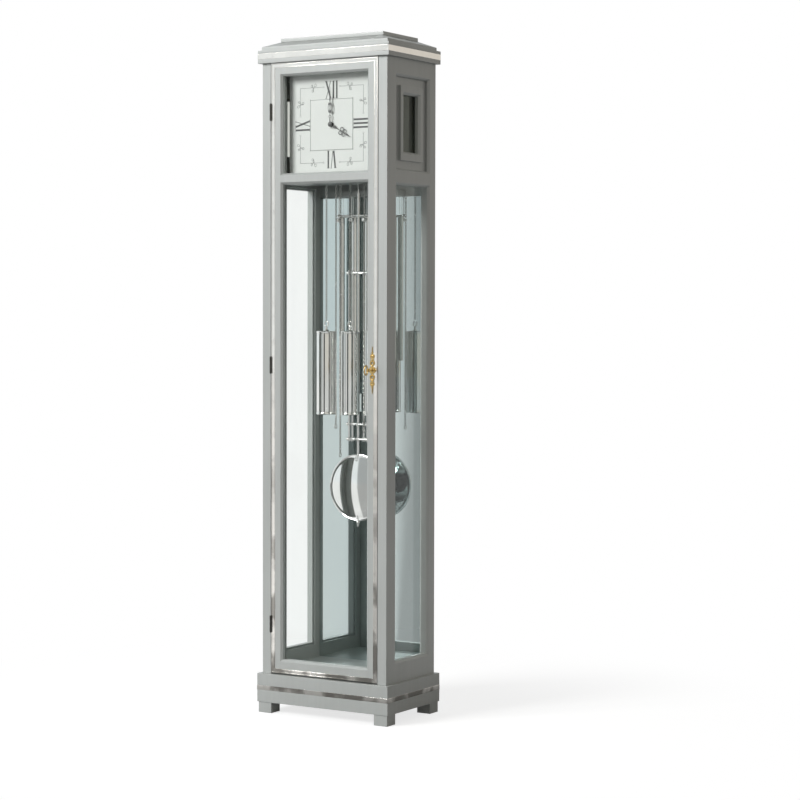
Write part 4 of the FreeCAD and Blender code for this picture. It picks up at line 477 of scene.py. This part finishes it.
# Lock, escutcheon and key
# A cast and pierced brass plate round the keyhole, with brass wire soldered round its holes and small studs, a
# blued lock box with a brass tongue behind it, and a brass key with an oval bow.
BRASS = (0.61, 0.44, 0.18)
LOCK_X = 168.5
LOCK_Z = 1026
PLATE_Y = -137.5
BOW_Y = -169.5
HOLES = ((0, 4.3, 0.9), (20, 4.4, 0.75), (-20, 4.4, 0.75), (40, 3.6, 0.7), (-40, 3.6, 0.7))
LATTICE = ((22, 6.5), (34, 5.5), (46, 4.0))
LATTICE_WIRE = 0.55
STUD = ((1.7, -0.3), (1.6, 0.5), (1.0, 1.1), (0.3, 1.3))
STUD_HEIGHTS = (-52, -30, -10, 10, 30, 52)
SIDE_STUD = ((2.2, -0.3), (2.1, 0.5), (1.3, 1.3), (0.3, 1.6))
SIDE_STUD_X = 9.8
SHANK = (
    (2.2, -158.8),
    (3.6, -158.0),
    (4.5, -156.6),
    (4.5, -155.2),
    (3.4, -154.4),
    (3.4, -152.6),
    (4.2, -151.8),
    (4.2, -150.4),
    (2.5, -149.4),
    (2.5, -97.5),
    (2.1, -94.2),
)

brass = polished("polished_brass", BRASS, 0.14, 0.15)
plate = [eased("escutcheon", 0.5)]
for up, radius, wire in HOLES:
    plate.append(ring(radius, wire, at(LOCK_X, PLATE_Y, LOCK_Z + up), FORWARD, (1, 1, 1), 28, 6))
for up, radius in LATTICE:
    for sign in (-1, 1):
        spot = at(LOCK_X, PLATE_Y, LOCK_Z + sign * up)
        plate.append(ring(radius, LATTICE_WIRE, spot, FORWARD, (1, 1.5, 1), 28, 6))
for up in STUD_HEIGHTS:
    plate.append(turned(STUD, at(LOCK_X, PLATE_Y, LOCK_Z + up), FORWARD, 14))
for side in (-1, 1):
    plate.append(turned(SIDE_STUD, at(LOCK_X + side * SIDE_STUD_X, PLATE_Y, LOCK_Z), FORWARD, 16))
settle(joined(plate), "lock_plate", brass, "door", "escutcheon", slot="brass")

bow = ring(1, 0.16, at(LOCK_X, BOW_Y, LOCK_Z), RIGHTWARD, (13.6, 8.2, 13.0), 36, 10)
loop = ring(3.0, 1.0, at(LOCK_X, BOW_Y + 6.0, LOCK_Z), RIGHTWARD, (1, 1, 1), 20, 8)
stem = turned([(radius, -depth) for radius, depth in SHANK], at(LOCK_X, 0, LOCK_Z), FORWARD, 24)
settle(joined([bow, loop, stem]), "lock_key", brass, "key", "key", slot="brass")
settle(eased("lock_body", 0.5), "lock_box", blued, "door", "lock_body", slot="hinge_steel")
settle(eased("lock_tongue", 0.3), "lock_bolt", brass, "key", "lock_tongue", slot="brass")

# Movement
# Two brass plates held apart by turned pillars, with a train of brass wheels between and before them. The
# anchor with its crutch and the three sprockets are bright iron.
IRON = (0.55, 0.55, 0.54)

body_of = {node: body for body, members in frame["record"]["behaviour"]["bodies"].items() for node in members}
for node in (
    "movement_plates",
    "movement_posts",
    "centre_wheel",
    "cannon_pinion",
    "minute_wheel",
    "hour_wheel",
    "great_wheel",
    "intermediate_wheel",
    "third_wheel",
    "escape_wheel",
):
    settle(eased(node, 0.15, 1), "train_" + node, brass, body_of[node], node, slot="brass")
iron = polished("bright_iron", IRON, 0.2, 0.1)
for node in ("anchor_crutch", "sprocket_left", "sprocket_centre", "sprocket_right"):
    settle(eased(node, 0.2, 1), "train_" + node, iron, body_of[node], node, slot="arbor_steel")

# Dial
# A thin metal sheet painted a cold white, with a raised square in the middle. Numerals at three, six, nine
# and twelve stand on its edges, and a fine line with a sprig at every other hour runs round outside it.
DIAL_Z = 1740
DIAL_Y = -94
SQUARE_HALF = 75
LINE_HALF = 110
LINE_START = 31
LINE_DOT = 28.6
NUMERAL_FOOT = 76.5
NUMERAL_TALL = 50
INK = 0.25
STROKES = {
    "I": ((0, 0, 5.2),),
    "V": ((-7.2, 0, 5.2), (7.2, 0, 1.7)),
    "X": ((-7.6, 7.6, 5.2), (7.6, -7.6, 1.7)),
}
ADVANCE = {"I": 11.5, "V": 23.0, "X": 24.0}
NUMERALS = (("XII", 0), ("III", 90), ("VI", 180), ("IX", 270))
DIAL_PAINT = ((0.86, 0.87, 0.845), (0.81, 0.825, 0.80))
DARK_INK = ((0.06, 0.062, 0.06), (0.12, 0.122, 0.12))
PALE_INK = ((0.17, 0.175, 0.17), (0.26, 0.265, 0.26))
SPRIG_RINGS = ((-6.8, 7.0, 3.1), (6.5, 4.7, 2.5), (3.1, -9.4, 2.6))


def painted(name, grain, shades, rough, uneven):
    """Paint or ink that varies a little between two shades. Its grain is the scale and detail of a noise."""
    finish = Finish(name)
    patch = finish.noise(*grain)
    return finish.set(base_color=finish.blend(patch, *shades), roughness=rough + patch * uneven)


def flat(points, deep):
    """A thin plate with four corners, which are x and z pairs, between two depths."""
    bpy.ops.mesh.primitive_plane_add(size=2 * MM)
    piece = bpy.context.object
    corners = (points[0], points[1], points[3], points[2])
    for vertex, (x, z) in zip(piece.data.vertices, corners):
        vertex.co = (x * MM, deep[1] * MM, z * MM)
    bpy.ops.object.mode_set(mode="EDIT")
    bpy.ops.mesh.select_all(action="SELECT")
    bpy.ops.mesh.extrude_region_move(TRANSFORM_OT_translate={"value": (0, (deep[0] - deep[1]) * MM, 0)})
    bpy.ops.mesh.select_all(action="SELECT")
    bpy.ops.mesh.normals_make_consistent(inside=False)
    bpy.ops.object.mode_set(mode="OBJECT")
    return piece


def stroke(foot, head, wide, deep=(-INK, 0.05)):
    """A straight stroke from its foot to its head, both x and z pairs, of one width or tapering."""
    wide = wide if isinstance(wide, tuple) else (wide, wide)
    lean = Vector((head[0] - foot[0], head[1] - foot[1])).normalized()
    across = Vector((lean.y, -lean.x)) / 2
    ends = ((foot, -1, wide[0]), (foot, 1, wide[0]), (head, 1, wide[1]), (head, -1, wide[1]))
    return flat([Vector(point) + sign * width * across for point, sign, width in ends], deep)


def letter(sign, middle):
    """The strokes of one numeral, with a fine serif on each end."""
    parts = []
    low, high = NUMERAL_FOOT, NUMERAL_FOOT + NUMERAL_TALL
    for first, second, wide in STROKES[sign]:
        foot_x, head_x = (second, first) if sign != "V" else (0.2 * first, first)
        parts.append(stroke((middle + foot_x, low), (middle + head_x, high), wide))
        serif = wide / 2 + 2.2
        parts.append(stroke((middle + head_x - serif, high), (middle + head_x + serif, high), 1.0))
        if sign != "V":
            parts.append(stroke((middle + foot_x - serif, low), (middle + foot_x + serif, low), 1.0))
    return parts


def about_centre(parts, angle, y):
    """Parts drawn upright round zero, joined, turned clockwise and set on the dial."""
    piece = joined(parts)
    piece.rotation_euler = (0, math.radians(angle), 0)
    piece.location = at(0, y, DIAL_Z)
    return piece


dial_paint = painted("dial_paint", (60.0, 4.0), DIAL_PAINT, 0.45, 0.1)
settle(eased("dial_plate", 0.5), "dial_face", dial_paint, "case", "dial_plate", slot="dial_white")
ink = painted("dial_ink", (400.0, 3.0), DARK_INK, 0.4, 0.2)
marks = []
for word, angle in NUMERALS:
    width = sum(ADVANCE[sign] for sign in word)
    middle = -width / 2
    parts = []
    for sign in word:
        parts += letter(sign, middle + ADVANCE[sign] / 2)
        middle += ADVANCE[sign]
    marks.append(about_centre(parts, angle, DIAL_Y))
settle(joined(marks), "dial_numerals", ink, "case")

pale_ink = painted("dial_pale_ink", (400.0, 3.0), PALE_INK, 0.45, 0.2)
long, high = SQUARE_HALF + 0.4, SQUARE_HALF - 1.5
lines = []
for angle in (0, 90, 180, 270):
    side = [stroke((-long, high), (long, high), 1.2, (-1.2, -0.95))]
    for way in (-1, 1):
        side.append(stroke((way * LINE_START, LINE_HALF), (way * LINE_HALF, LINE_HALF), 0.9))
        side.append(ring(2.2, 0.35, Vector((way * LINE_DOT, 0, LINE_HALF)) * MM, FORWARD, (1, 1, 1), 16, 4))
        foot = way * LINE_HALF * math.tan(math.radians(30))
        side.append(stroke((foot - 4.2, LINE_HALF + 9.8), (foot, LINE_HALF - 11.7), (0.6, 2.0)))
        side.append(stroke((foot + 4.2, LINE_HALF + 6.5), (foot, LINE_HALF - 4), (0.5, 1.6)))
        for bend, up, radius in SPRIG_RINGS:
            spot = Vector((foot + way * bend, 0, LINE_HALF + up)) * MM
            side.append(ring(radius, 0.5, spot, FORWARD, (1, 1.3, 0.8), 16, 4))
    lines.append(about_centre(side, angle, DIAL_Y))
settle(joined(lines), "dial_lines", pale_ink, "case")

# Hands
# Both are pierced from thin steel and painted dark grey: the hour hand with four rings like a clover, the
# minute hand with a ring and two long loops. A domed brass nut, painted with them, holds them.
HAND_HALF = 0.55
HOUR_Y = -98.4
MINUTE_Y = -103.4
HAND_PAINT = ((0.10, 0.10, 0.10), (0.16, 0.16, 0.155))
NUT = ((4.6, 104.0), (4.6, 105.4), (4.0, 106.4), (2.6, 106.9), (0.6, 107.0))


def flat_ring(x, z, radius, wide, tall=1.0):
    """A flat ring of a hand, drawn out along it."""
    thin = HAND_HALF / wide
    return ring(radius, wide, Vector((x, 0, z)) * MM, FORWARD, (1, tall, thin), 24, 6)


def hub(radius):
    """The boss of a hand."""
    rim = ((radius, -0.6), (radius, 0.3), (radius - 0.6, 0.9))
    crown = ((0.62 * radius, 1.1), (0.55 * radius, 1.7), (2.0, 1.9))
    return turned(rim + crown, (0, 0, 0), FORWARD, 32)


hand_paint = painted("hand_paint", (300.0, 2.0), HAND_PAINT, 0.35, 0.15)
deep = (-HAND_HALF, HAND_HALF)
hour = [
    hub(8),
    stroke((0, 5), (0, 33), (5.0, 2.2), deep),
    flat_ring(0, 16, 3.6, 1.1),
    flat_ring(-6.0, 41.0, 5.4, 1.1),
    flat_ring(6.0, 41.0, 5.4, 1.1),
    flat_ring(-5.4, 52.5, 5.0, 1.1),
    flat_ring(5.4, 52.5, 5.0, 1.1),
    stroke((0, 32), (0, 60), (1.6, 1.6), deep),
    stroke((0, 56), (0, 63), (1.4, 5.6), deep),
    stroke((0, 63), (0, 79), (5.6, 0.4), deep),
]
hour_hand = rounded(about_centre(hour, 120, HOUR_Y), 0.15, 1)
settle(hour_hand, "hand_of_hours", hand_paint, "hour_wheel", "hour_hand", slot="hand_grey")
minute = [
    hub(7.2),
    stroke((0, 5), (0, 19), (4.6, 2.0), deep),
    flat_ring(0, 22.5, 3.4, 1.0),
    stroke((0, 26), (0, 36), (1.8, 1.8), deep),
    flat_ring(-3.1, 48.5, 2.9, 0.9, 4.1),
    flat_ring(3.1, 48.5, 2.9, 0.9, 4.1),
    flat_ring(0, 36.5, 2.2, 0.8),
    stroke((0, 37), (0, 62), (1.2, 1.2), deep),
    flat_ring(0, 63.0, 2.0, 0.8),
    stroke((0, 64), (0, 72), (1.4, 4.2), deep),
    stroke((0, 72), (0, 110), (4.2, 0.4), deep),
]
minute_hand = rounded(about_centre(minute, 0, MINUTE_Y), 0.15, 1)
settle(minute_hand, "hand_of_minutes", hand_paint, "minute_arbor", "minute_hand", slot="hand_grey")
nut = turned(NUT, at(0, 0, DIAL_Z), FORWARD, 24)
settle(nut, "hand_domed_nut", hand_paint, "minute_arbor", "hand_nut", slot="brass")

# Weights
# Three shells of polished steel tube, spun closed at both ends over caps that stand out a little, each with a
# turned neck and a wire hook.
WEIGHTS = (("left", -84), ("centre", 0), ("right", 84))
WEIGHT_Y = 6
HOOK_Z = 1158.2
WEIGHT_OUTLINE = (
    (24.0, 887.0),
    (28.6, 887.6),
    (30.0, 889.4),
    (30.0, 892.0),
    (29.2, 893.6),
    (28.0, 894.2),
    (28.0, 895.2),
    (29.0, 896.0),
    (29.0, 1128.0),
    (28.0, 1128.8),
    (28.0, 1129.8),
    (29.2, 1130.4),
    (30.0, 1132.0),
    (30.0, 1134.6),
    (28.6, 1136.4),
    (24.0, 1137.0),
    (9.5, 1137.6),
    (8.4, 1139.0),
    (6.0, 1140.2),
    (3.4, 1142.4),
    (3.0, 1145.4),
    (3.9, 1147.0),
    (3.0, 1148.8),
    (1.8, 1149.6),
    (1.8, 1151.0),
)
CHROME = (0.86, 0.86, 0.845)

chrome = polished("weight_steel", CHROME, 0.03, 0.03)
for side, x in WEIGHTS:
    shell = turned(WEIGHT_OUTLINE, at(x, WEIGHT_Y, 0), (0, 0, 0), 56)
    hook = ring(7, 1.8, at(x, WEIGHT_Y, HOOK_Z), FORWARD, (1, 1, 1), 32, 10)
    node = "weight_" + side
    settle(joined([shell, hook]), "hung_weight_" + side, chrome, node, node, slot="polished_steel")

# Chains
# Each weight hangs on a chain of welded steel links, every second link turned edgeways. The chain runs up to
# its sprocket, over it and down to a ring at its loose end. The links over the sprocket go with the case, and
# the ring goes with the chain's loose end.
CHAIN_STEEL = (0.56, 0.56, 0.54)
LINK_HALF = 2.6
LINK_WIRE = 1.05
LINK_PULL = 1.7
PITCH = 7
WRAP = 17
WRAP_LINKS = 8
STILL = 42
HOOK_TOP = 1167
CHAINS = (
    ("left", -67, 1645, -1, 860),
    ("centre", -17, 1670.28, 1, 775),
    ("right", 67, 1645, 1, 850),
)
END_SHANK = ((1.0, -1.2), (1.7, -0.6), (1.7, 0.6), (1.0, 1.2))


def copied(piece, place):
    """A copy of a piece with its own mesh."""
    copy = bpy.data.objects.new(piece.name + "_copy", piece.data.copy())
    bpy.context.scene.collection.objects.link(copy)
    copy.matrix_world = place
    return copy


chain_steel = polished("chain_steel", CHAIN_STEEL, 0.18, 0.08)
link = ring(LINK_HALF, LINK_WIRE, (0, 0, 0), (0, 0, 0), (1, 1, 1), 10, 4)
pulled(link, LINK_PULL, 1)
link.rotation_euler = FORWARD
bpy.ops.object.transform_apply(location=True, rotation=True, scale=True)


def strand(x, top, low):
    """A run of links down from the sprocket."""
    edgeways = Matrix.Rotation(math.pi / 2, 4, "Z")
    pair = [
        copied(link, Matrix.Translation(at(x, WEIGHT_Y, top - PITCH / 2))),
        copied(link, Matrix.Translation(at(x, WEIGHT_Y, top - 1.5 * PITCH)) @ edgeways),
    ]
    run = {"use_relative_offset": False, "use_constant_offset": True}
    shift = (0, 0, -2 * PITCH * MM)
    count = round((top - low) / (2 * PITCH))
    return modified(joined(pair), "ARRAY", count=count, constant_offset_displace=shift, **run)


for side, x, z, drive, loose in CHAINS:
    chain, chain_end = "chain_" + side, "chain_end_" + side
    weight_x, loose_x = x + drive * WRAP, x - drive * WRAP
    up = strand(weight_x, z, HOOK_TOP)
    settle(up, "chain_up_" + side, chain_steel, None, chain, slot="polished_steel")
    top, low = at(weight_x, WEIGHT_Y, z - STILL), at(weight_x, WEIGHT_Y, HOOK_TOP)
    "weight_" + side
    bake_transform(up)
    down = strand(loose_x, z, loose)
    settle(down, "chain_down_" + side, chain_steel, None, chain, slot="polished_steel")
    top, low = at(loose_x, WEIGHT_Y, z - STILL), at(loose_x, WEIGHT_Y, loose)
    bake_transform(down)
    over = []
    for count in range(WRAP_LINKS):
        angle = math.pi * (count + 0.5) / WRAP_LINKS
        spot = at(x + WRAP * math.cos(angle), WEIGHT_Y, z + WRAP * math.sin(angle))
        spin = Matrix.Rotation(-angle, 4, "Y") @ Matrix.Rotation(math.pi / 2 * (count % 2), 4, "Z")
        over.append(copied(link, Matrix.Translation(spot) @ spin))
    settle(joined(over), "chain_over_" + side, chain_steel, "case", chain, slot="polished_steel")
    loop = ring(6, 1.3, at(loose_x, WEIGHT_Y, loose - 7.6), RIGHTWARD, (1, 1, 1), 28, 8)
    shank = turned(END_SHANK, at(loose_x, WEIGHT_Y, loose - 1.6), (0, 0, 0), 14)
    end_ring = joined([loop, shank])
    settle(end_ring, "chain_ring_" + side, chain_steel, chain_end, chain_end, slot="polished_steel")
bpy.data.objects.remove(link)

# Pendulum
# Five steel rods are held by three cross bars with ball ends. The main rod runs through a spun bob like a
# lens, with a bead round it, which rests on a knurled nut, and hangs from a thin spring.
PENDULUM_Y = 52
BOB_Z = 668
BOB_RADIUS = 98.5
BOB_HALF = 12
BEAD = 2
DOME = (BOB_RADIUS**2 + BOB_HALF**2) / (2 * BOB_HALF)
LENS_SHARES = (0.002, 0.1, 0.2, 0.32, 0.44, 0.56, 0.68, 0.8, 0.9, 0.965)
ROD_X = (-32, -20, 0, 20, 32)
ROD_Z = (564.5, 1790.1)
GRID_Z = (806, 1318)
BAR_Z = (1310, 858, 813)
HALF_BAR = [(4.0, 0), (4.0, 31), (4.9, 31.6), (4.9, 32.6), (3.2, 33.2)]
COLLAR = (
    (3.8, -6.2),
    (5.0, -5.4),
    (5.0, -4.4),
    (4.2, -3.8),
    (4.2, 3.8),
    (5.0, 4.4),
    (5.0, 5.4),
    (3.8, 6.2),
)
SPRING_Y = (47.5, 56.5)
SPRING_Z = (1788, 1822)
CLAMP_Z = (1786.6, 1793.6)
KNURL = ((4.9, 562.0), (5.3, 562.5), (5.3, 566.6), (4.9, 567.1))
KNURL_FACE = 3e-6
TIP = ((0.5, 548.2), (1.4, 550.5), (3.2, 558.5), (3.6, 560.4), (4.6, 561.4), (4.6, 562.4))


def block(x, y, z, ease=0.5, segments=2):
    """A block between two planes on each axis, with its edges rounded."""
    low, high = at(x[0], y[0], z[0]), at(x[1], y[1], z[1])
    bpy.ops.mesh.primitive_cube_add(size=1, location=(low + high) / 2)
    piece = bpy.context.object
    piece.dimensions = high - low
    bpy.ops.object.transform_apply(location=True, rotation=True, scale=True)
    return rounded(piece, ease, segments)


def rod(radius, x, y, low, high, sides=16):
    """An upright rod with its ends rounded."""
    ease = 0.25 * radius
    outline = ((radius - ease, low), (radius, low + ease), (radius, high - ease), (radius - ease, high))
    return turned(outline, at(x, y, 0), (0, 0, 0), sides)


def ball(radius, height, first, step, count):
    """The outline of a ball, from one share of a half turn on in equal steps."""
    angles = [math.pi * (first + step * number) for number in range(count)]
    return [(radius * math.sin(angle), height - radius * math.cos(angle)) for angle in angles]


half_bar = HALF_BAR + ball(5, 37, 0.26, 0.08, 9) + [(0.4, 42.0)]
frame_parts = [rod(3.5, 0, PENDULUM_Y, *ROD_Z, 20)]
for x in ROD_X:
    if x:
        frame_parts.append(rod(3, x, PENDULUM_Y, *GRID_Z))
    for z in BAR_Z:
        frame_parts.append(turned(COLLAR, at(x, PENDULUM_Y, z), (0, 0, 0), 20))
for z in BAR_Z:
    for turn in (math.pi / 2, -math.pi / 2):
        frame_parts.append(turned(half_bar, at(0, PENDULUM_Y, z), (0, turn, 0), 20))
frame_parts.append(block((-0.3, 0.3), SPRING_Y, SPRING_Z, 0.05, 1))
frame_parts.append(block((-3.5, 3.5), SPRING_Y, CLAMP_Z, 0.8))
settle(joined(frame_parts), "pendulum_frame", chrome, "pendulum", "pendulum_rod", slot="polished_steel")

steps = [BOB_RADIUS * share for share in LENS_SHARES]
front = [(radius, DOME - BOB_HALF - math.sqrt(DOME**2 - radius**2)) for radius in steps]
bead = [
    (BOB_RADIUS - 0.9 * BEAD, -1.35),
    (BOB_RADIUS, -BEAD),
    (BOB_RADIUS + 0.7 * BEAD, -0.7 * BEAD),
    (BOB_RADIUS + BEAD, 0),
]
half = front + bead
bob_outline = half + [(radius, -height) for radius, height in half[-2::-1]]
bob = turned(bob_outline, at(0, PENDULUM_Y, BOB_Z), BACKWARD, 96)
settle(bob, "pendulum_lens", chrome, "pendulum", "pendulum_bob", slot="polished_steel")

knurl = turned(KNURL, at(0, PENDULUM_Y, 0), (0, 0, 0), 30)
select_only(knurl)
for face in knurl.data.polygons:
    face.select = face.area > KNURL_FACE and abs(face.normal.z) < 0.3
bpy.ops.object.mode_set(mode="EDIT")
bpy.ops.mesh.select_mode(type="FACE")
bpy.ops.mesh.inset(thickness=0.18 * MM, depth=0.2 * MM, use_individual=True)
bpy.ops.mesh.select_mode(type="VERT")
bpy.ops.object.mode_set(mode="OBJECT")
tip = turned(TIP, at(0, PENDULUM_Y, 0), (0, 0, 0), 24)
settle(joined([knurl, tip]), "pendulum_nut", chrome, "pendulum", "rating_nut", slot="polished_steel")

# Chimes
# Five drawn steel tubes, each shorter than the last, hang on wires from a rack of lacquered wood, and a thin
# rod joins their plugged tops. A small steel hammer stands before each, and a rail with balls holds the
# hammers' stems.
TUBE_Y = 103.5
TUBE_TOP = 1483
TUBE_LONG = 571
TUBE_STEP = 34
TUBE_X = (-92, -46, 0, 46, 92)
TUBE_ROD_Y = 93.7
TUBE_ROD_Z = 1479
TUBE_ROD = ((1.2, -97), (1.6, -96.6), (1.6, 96.6), (1.2, 97))
PLUG = ((2.2, -9.6), (4.2, -9.2), (4.2, -11.4), (3.0, -12.6), (0.6, -13.1))
WIRE_X = 4.25
RACK_Z = 1540
HAMMER_Y = 86.2
HAMMER_Z = 1470
HAMMER = (
    (4.6, 78.0),
    (5.8, 78.6),
    (6.0, 79.6),
    (6.0, 88.4),
    (5.4, 89.0),
    (5.4, 91.6),
    (5.0, 92.0),
    (3.6, 92.0),
)
SOCKET = ((1.6, 0), (2.4, 0.6), (2.4, 5.4), (1.6, 6.0))
RAIL_Z = 1483
RAIL = ((2.0, -97.5), (2.5, -97), (2.5, 97), (2.0, 97.5))
SATIN = (0.93, 0.93, 0.915)

tubes = []
heads = []
hammers = []
for count, x in enumerate(TUBE_X):
    low = TUBE_TOP - TUBE_LONG + count * TUBE_STEP
    wall = (
        (7.0, TUBE_TOP - 6),
        (7.0, low + 0.3),
        (7.3, low),
        (8.2, low),
        (8.5, low + 0.3),
        (8.5, TUBE_TOP - 8),
        (8.1, TUBE_TOP - 7.6),
        (8.1, TUBE_TOP - 7.2),
        (8.5, TUBE_TOP - 6.8),
        (8.5, TUBE_TOP - 2.2),
        (7.8, TUBE_TOP - 0.9),
        (5.5, TUBE_TOP - 0.2),
        (3.0, TUBE_TOP),
    )
    tubes.append(turned(wall, at(x, TUBE_Y, 0), (0, 0, 0), 28))
    for side in (-WIRE_X, WIRE_X):
        tubes.append(rod(0.7, x + side, TUBE_Y, TUBE_TOP - 2, RACK_Z, 8))
    heads.append(turned(PLUG, at(x, TUBE_Y, TUBE_ROD_Z), BACKWARD, 18))
    hammers.append(turned(HAMMER, at(x, 0, HAMMER_Z), BACKWARD, 24))
    hammers.append(rod(1.1, x, HAMMER_Y, HAMMER_Z - 4, RACK_Z, 10))
    hammers.append(turned(SOCKET, at(x, HAMMER_Y, RACK_Z - 6.5), (0, 0, 0), 14))
heads.append(turned(TUBE_ROD, at(0, TUBE_ROD_Y, TUBE_ROD_Z), RIGHTWARD, 12))
hammers.append(turned(RAIL, at(0, HAMMER_Y, RAIL_Z), RIGHTWARD, 16))
for x in TUBE_X:
    hammers.append(turned(ball(4.4, 0, 0.05, 0.1, 10), at(x, HAMMER_Y, RAIL_Z), RIGHTWARD, 18))
settle(joined(tubes), "chime_hung_tubes", chrome, "case", "chime_tubes", slot="polished_steel")
settle(joined(heads), "chime_tube_rod", chrome, "case")
satin = polished("satin_steel", SATIN, 0.4, 0.1)
settle(joined(hammers), "chime_hammer_row", satin, "case", "chime_hammers", slot="brass")
settle(eased("tube_rack", 1.5), "chime_rack", lacquer, "case", "tube_rack", slot="lacquer_inside")

# Studio
# A white floor that fades into a white backdrop, and one large soft lamp before the clock on its left. The
# polished steel sees a white wall on the left, a dimmer room and two dark screens. A small low lamp, which it
# doesn't see, lifts the clock's foot.
FLOOR_SIZE = 60
FLOOR_GLOW = 0.74
FLOOR_FADE = (0.45, 1.5)
FAR_DIFFUSE = 0.10
SKY_DIFFUSE = 0.26
SKY_MIDDLE = 0.48
SKY_RIGHT = 0.72
WALL_END = (-0.53, -0.512)
RIGHT_START = (-0.42, -0.15)
WARM = (1.0, 0.95, 0.88)
COOL = (0.94, 0.98, 1.0)
WHITE = (1.0, 1.0, 1.0)
GREY = (0.42, 0.42, 0.42)
FELT = ((0.05, 0.055, 0.055), (0.12, 0.13, 0.13))
SCREEN_TALL = 2.6
SCREENS = (
    ("studio_left_screen", -3.0, -3.1, -44, 0.75),
    ("studio_right_screen", 0.6, -4.6, 7, 1.1),
)


def studio_piece(piece, name, finish):
    """Ends a piece of the studio, which isn't part of the clock."""
    piece.name = name
    piece.data.materials.append(finish.material)


def seen(nodes):
    """One for the rays that should meet a white backdrop."""
    kinds = ("Is Camera Ray", "Is Glossy Ray", "Is Transmission Ray")
    first, second, third = [nodes.node("LightPath", {}, {}, kind) for kind in kinds]
    return first.most(second).most(third)


def dimmed(nodes, east):
    """How much less polished metal sees of the room towards its right."""
    glossy = nodes.node("LightPath", {}, {}, "Is Glossy Ray")
    middle = east.ramp(*WALL_END) * (1 - SKY_MIDDLE)
    right = east.ramp(*RIGHT_START) * (SKY_RIGHT - SKY_MIDDLE)
    return glossy * (middle - right)


bpy.ops.mesh.primitive_plane_add(size=FLOOR_SIZE)
floor = bpy.context.object
ground = Finish("studio_floor", base_color=GREY, roughness=0.9)
watched = ground.node("LightPath", {}, {}, "Is Camera Ray")
glow = ground.node("Emission", {}, {"Color": WHITE, "Strength": watched * FLOOR_GLOW})
near = ground.node("AddShader", {}, {0: Value(ground, ground.surface.outputs[0]), 1: glow})
side = ground.axes(ground.node("VectorMath", {"operation": "NORMALIZE"}, {0: ground.place()}))[0]
level = seen(ground) * (1 - FAR_DIFFUSE) + FAR_DIFFUSE - dimmed(ground, side)
far = ground.node("Emission", {}, {"Color": WHITE, "Strength": level})
away = ground.node("VectorMath", {"operation": "LENGTH"}, {0: ground.place()}, "Value")
ground.output(ground.node("MixShader", {}, {0: away.ramp(*FLOOR_FADE), 1: near, 2: far}))
studio_piece(floor, "studio_floor", ground)

felt = Finish("studio_screen", roughness=0.9)
felt.set(base_color=felt.blend(felt.noise(3.0, 2.0), *FELT))
for name, x, y, turn, wide in SCREENS:
    upright = (math.pi / 2, 0, math.radians(turn))
    bpy.ops.mesh.primitive_plane_add(size=1, location=(x, y, SCREEN_TALL / 2), rotation=upright)
    screen = bpy.context.object
    screen.scale = (wide, SCREEN_TALL, 1)
    screen.visible_camera = False
    studio_piece(screen, name, felt)

world = bpy.data.worlds.new("studio")
bpy.context.scene.world = world
world.use_nodes = True
sky = Nodes(world.node_tree)
east = sky.axes(sky.node("TexCoord", {}, {}, "Generated"))[0]
level = SKY_DIFFUSE + seen(sky) * (1 - SKY_DIFFUSE) - dimmed(sky, east)
tint = sky.blend(east.ramp(-0.6, 0.6), COOL, WARM)
background = sky.tree.nodes["Background"]
watched = sky.node("LightPath", {}, {}, "Is Camera Ray")
sky.feed(background.inputs["Color"], sky.blend(watched, tint, WHITE))
sky.feed(background.inputs["Strength"], level)


def lamp(name, place, target, size, power, mirrored):
    """A square soft box turned towards a point. Polished metal sees it only if it is mirrored."""
    bpy.ops.object.light_add(type="AREA", location=place)
    light = bpy.context.object
    light.name = name
    light.data.size = size
    light.data.energy = power
    light.visible_glossy = mirrored
    light.rotation_mode = "QUATERNION"
    light.rotation_quaternion = (Vector(target) - Vector(place)).to_track_quat("-Z", "Y")


lamp("key_lamp", (-3.2, -6.8, 5.2), (0, 0, 1.1), 3.2, 535, True)
lamp("fill_lamp", (-1.6, -4.8, 0.8), (0, 0, 0.5), 1.6, 24, False)
